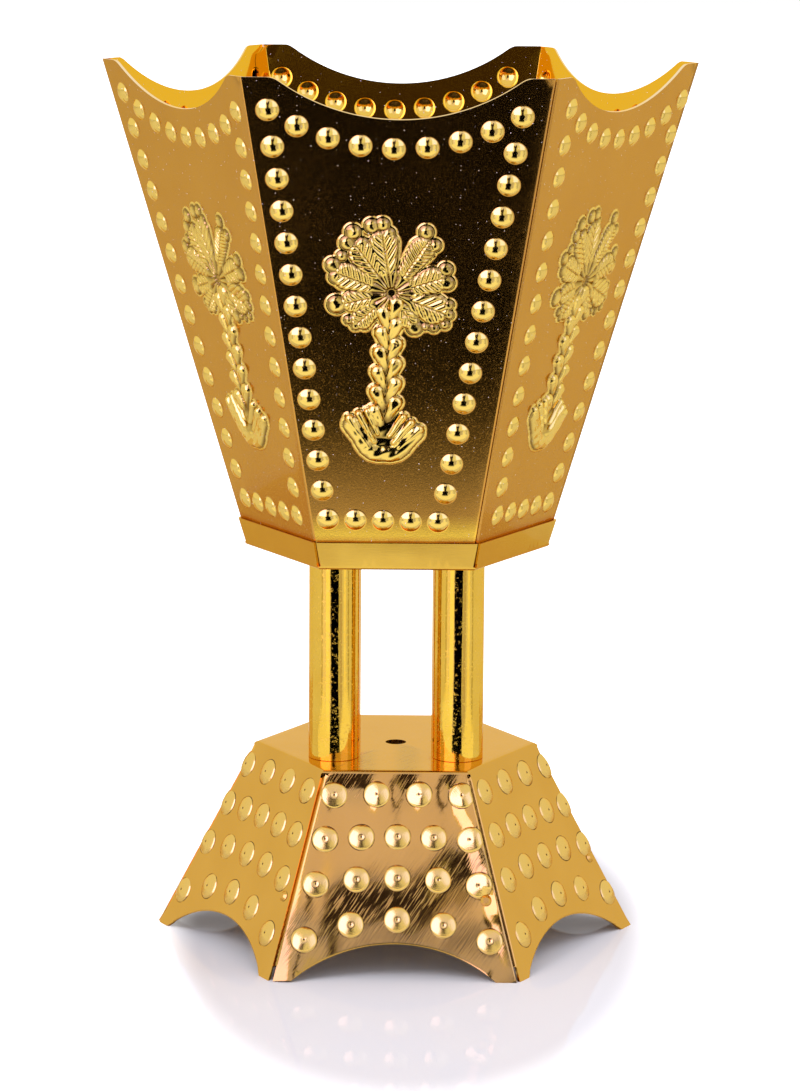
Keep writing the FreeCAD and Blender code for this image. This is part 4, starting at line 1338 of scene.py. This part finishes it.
bpy.ops.object.select_all(action="DESELECT")
bpy.ops.mesh.primitive_plane_add(size=floor_size)
floor = bpy.context.object
floor.name = "white_table"
table, tree, shader, place = new_material("white_acrylic_table")
tree.nodes.remove(shader)
diffuse = node(tree, "BsdfDiffuse", {"Color": linear(floor_colour)})
sheen = node(tree, "BsdfGlossy", {"Color": linear("#FFFFFF"), "Roughness": 0.04})
surface = node(tree, "MixShader", {0: 0.10, 1: diffuse.outputs[0], 2: sheen.outputs[0]})
seen = node(tree, "LightPath", {})
squeezed = node(tree, "Mapping", {"Vector": place, "Scale": lift_squeeze, "Location": lift_shift})
away = node(tree, "VectorMath", {0: squeezed.outputs[0]}, operation="LENGTH")
lift = node(tree, "MapRange", {"Value": away.outputs["Value"], "From Min": shadow_reach,
                               "From Max": shadow_end, "To Min": near_lift, "To Max": 1.0},
            interpolation_type="SMOOTHSTEP")
lift = node(tree, "Math", {0: seen.outputs["Is Camera Ray"], 1: lift.outputs[0]}, operation="MULTIPLY")
glow = node(tree, "Emission", {"Color": linear("#FFFFFF"), "Strength": lift.outputs[0]})
whole = node(tree, "AddShader", {0: surface.outputs[0], 1: glow.outputs[0]})
tree.links.new(whole.outputs[0], tree.nodes["Material Output"].inputs["Surface"])
floor.data.materials.append(table)


def seen_at(azimuth, elevation, distance):
    """Point seen from the burner's middle in a direction, in degrees, at a distance in metres."""
    a, e = math.radians(azimuth), math.radians(elevation)
    way = Vector((math.cos(e) * math.cos(a), math.cos(e) * math.sin(a), math.sin(e)))
    return Vector((0, 0, 0.2)) + distance * way


def sector(start, end, low, high):
    """Corners of a part of the table between two azimuths and two distances from its middle."""
    return [(r * math.cos(math.radians(a)), r * math.sin(math.radians(a)), strip_height)
            for r, a in ((low, start), (low, end), (high, end), (high, start))]


def card(name, corners, colour, strength, fade=None):
    """Flat card that shows in reflections only, on the table from above, and may fade in from y to y."""
    mesh = bpy.data.meshes.new(name)
    mesh.from_pydata([tuple(c) for c in corners], [], [range(len(corners))])
    if mesh.polygons[0].normal.z < 0:
        mesh.flip_normals()
    flag = bpy.data.objects.new(name, mesh)
    bpy.context.scene.collection.objects.link(flag)
    flag.visible_camera = False
    flag.visible_diffuse = False
    flag.visible_shadow = False
    paint, tree, shader, place = new_material(name)
    tree.nodes.remove(shader)
    light = node(tree, "Emission", {"Color": linear(colour), "Strength": strength}).outputs[0]
    clear = node(tree, "BsdfTransparent", {}).outputs[0]
    if fade:
        apart = node(tree, "SeparateXYZ", {"Vector": place})
        share = node(tree, "MapRange", {"Value": apart.outputs["Y"], "From Min": fade[0],
                                        "From Max": fade[1]})
        light = node(tree, "MixShader", {0: share.outputs[0], 1: clear, 2: light}).outputs[0]
    if max(corner[2] for corner in corners) <= gap_height:
        below = node(tree, "NewGeometry", {}).outputs["Backfacing"]
        light = node(tree, "MixShader", {0: below, 1: light, 2: clear}).outputs[0]
    tree.links.new(light, tree.nodes["Material Output"].inputs["Surface"])
    flag.data.materials.append(paint)


# Half widths of the dark gap on the table at distances in front, then its sides in the tent wall.
gap_height = 0.004
strip_height = 0.002
band_reach = (0.3, 2.5)
shade_start = 0.14
gap_on_table = [(0.20, 0.09), (0.28, 0.10), (0.37, 0.105), (0.66, 0.225), (1.1, 0.36), (1.3, 0.28),
                (2.2, 0.27), (5.2, 0.60)]
gap_in_wall = [(-97, -5), (-97, 12), (-102, 17), (-102, 26), (-96, 30), (-88, 31), (-82, 38), (-76, 50),
               (-64, 50), (-70, 38), (-75, 31), (-78, 26), (-79, 17), (-83, 12), (-83, -5)]
wall_distance = 5.8
seam_distance = 5.9
box_distance = 2.0
lit_height = 0.003
table_edge = [(width, -out, gap_height) for out, width in gap_on_table]
card("gap_low", table_edge + [(-x, y, z) for x, y, z in reversed(table_edge)], "#000000", 0.0,
     (-0.180, -0.258))
card("gap_high", [seen_at(a, e, wall_distance) for a, e in gap_in_wall], "#3A2D30", 1.0)
card("tent_seam", [seen_at(a, e, seam_distance) for a, e in ((-100, 27), (-60, 27), (-60, 60), (-100, 60))],
     "#C0BEF6", 1.9)
lit_corners = [(-0.3, -0.09), (0.3, -0.09), (0.3, -0.28), (-0.3, -0.28)]
card("lit_table", [(x, y, lit_height) for x, y in lit_corners], "#FFFFFF", 1.2)
left_box = ((-152, -8), (-104, -8), (-104, 50), (-152, 50))
right_box = ((-58, 0), (-25, 0), (-25, 45), (-58, 45))
card("soft_box_left", [seen_at(a, e, box_distance) for a, e in left_box], "#B6A6FF", 6.5)
card("soft_box_right", [seen_at(a, e, box_distance) for a, e in right_box], "#AEB1FF", 3.4)

# Lighter and darker strips of the table, between azimuths, that draw the tubes' upright bands.
for number, (start, end, shade, strength) in enumerate((
        (-150, -142, "#FFFFFF", 0.7), (-128, -111, "#FFFFFF", 1.35), (-70, -57, "#D8D4F4", 0.95),
        (-50, -40, "#FFFFFF", 1.2), (-30, -23, "#FFFFFF", 0.6))):
    card("table_band_%d" % number, sector(start, end, *band_reach), shade, strength)

# Painted shadow of the burner on the table close by, on both sides, as the tray's side flanges mirror it.
for number, (start, end, reach) in enumerate(((18, 64, 0.36), (116, 162, 0.41))):
    card("table_shade_%d" % number, sector(start, end, shade_start, reach), "#F4DCC8", 0.85)

for name, place, turn, size, power in (
        ("key_lamp", (-1.2, -0.9, 1.9), (42, 0, -53), 1.2, 15.0),
        ("fill_lamp", (1.4, 0.6, 1.8), (40, 0, 115), 1.2, 12.0)):
    lamp_data = bpy.data.lights.new(name, "AREA")
    lamp_data.size = size
    lamp_data.energy = power
    lamp = bpy.data.objects.new(name, lamp_data)
    lamp.location = place
    lamp.rotation_euler = [math.radians(a) for a in turn]
    lamp.visible_glossy = False
    bpy.context.scene.collection.objects.link(lamp)

world = bpy.data.worlds.new("white_tent")
bpy.context.scene.world = world
world.use_nodes = True
tree = world.node_tree
tree.nodes.clear()
seen = node(tree, "LightPath", {})
bright = node(tree, "Math", {0: seen.outputs["Is Camera Ray"], 1: seen.outputs["Is Glossy Ray"]},
              operation="MAXIMUM")
bright = node(tree, "Math", {0: bright.outputs[0], 1: seen.outputs["Is Transmission Ray"]},
              operation="MAXIMUM")
level = node(tree, "MapRange", {"Value": bright.outputs[0], "To Min": 0.8, "To Max": 1.0})
tent = node(tree, "Background", {"Color": linear("#FFFFFF"), "Strength": level.outputs[0]})
node(tree, "OutputWorld", {"Surface": tent.outputs[0]})

view_settings = bpy.context.scene.view_settings
view_settings.view_transform = "Standard"
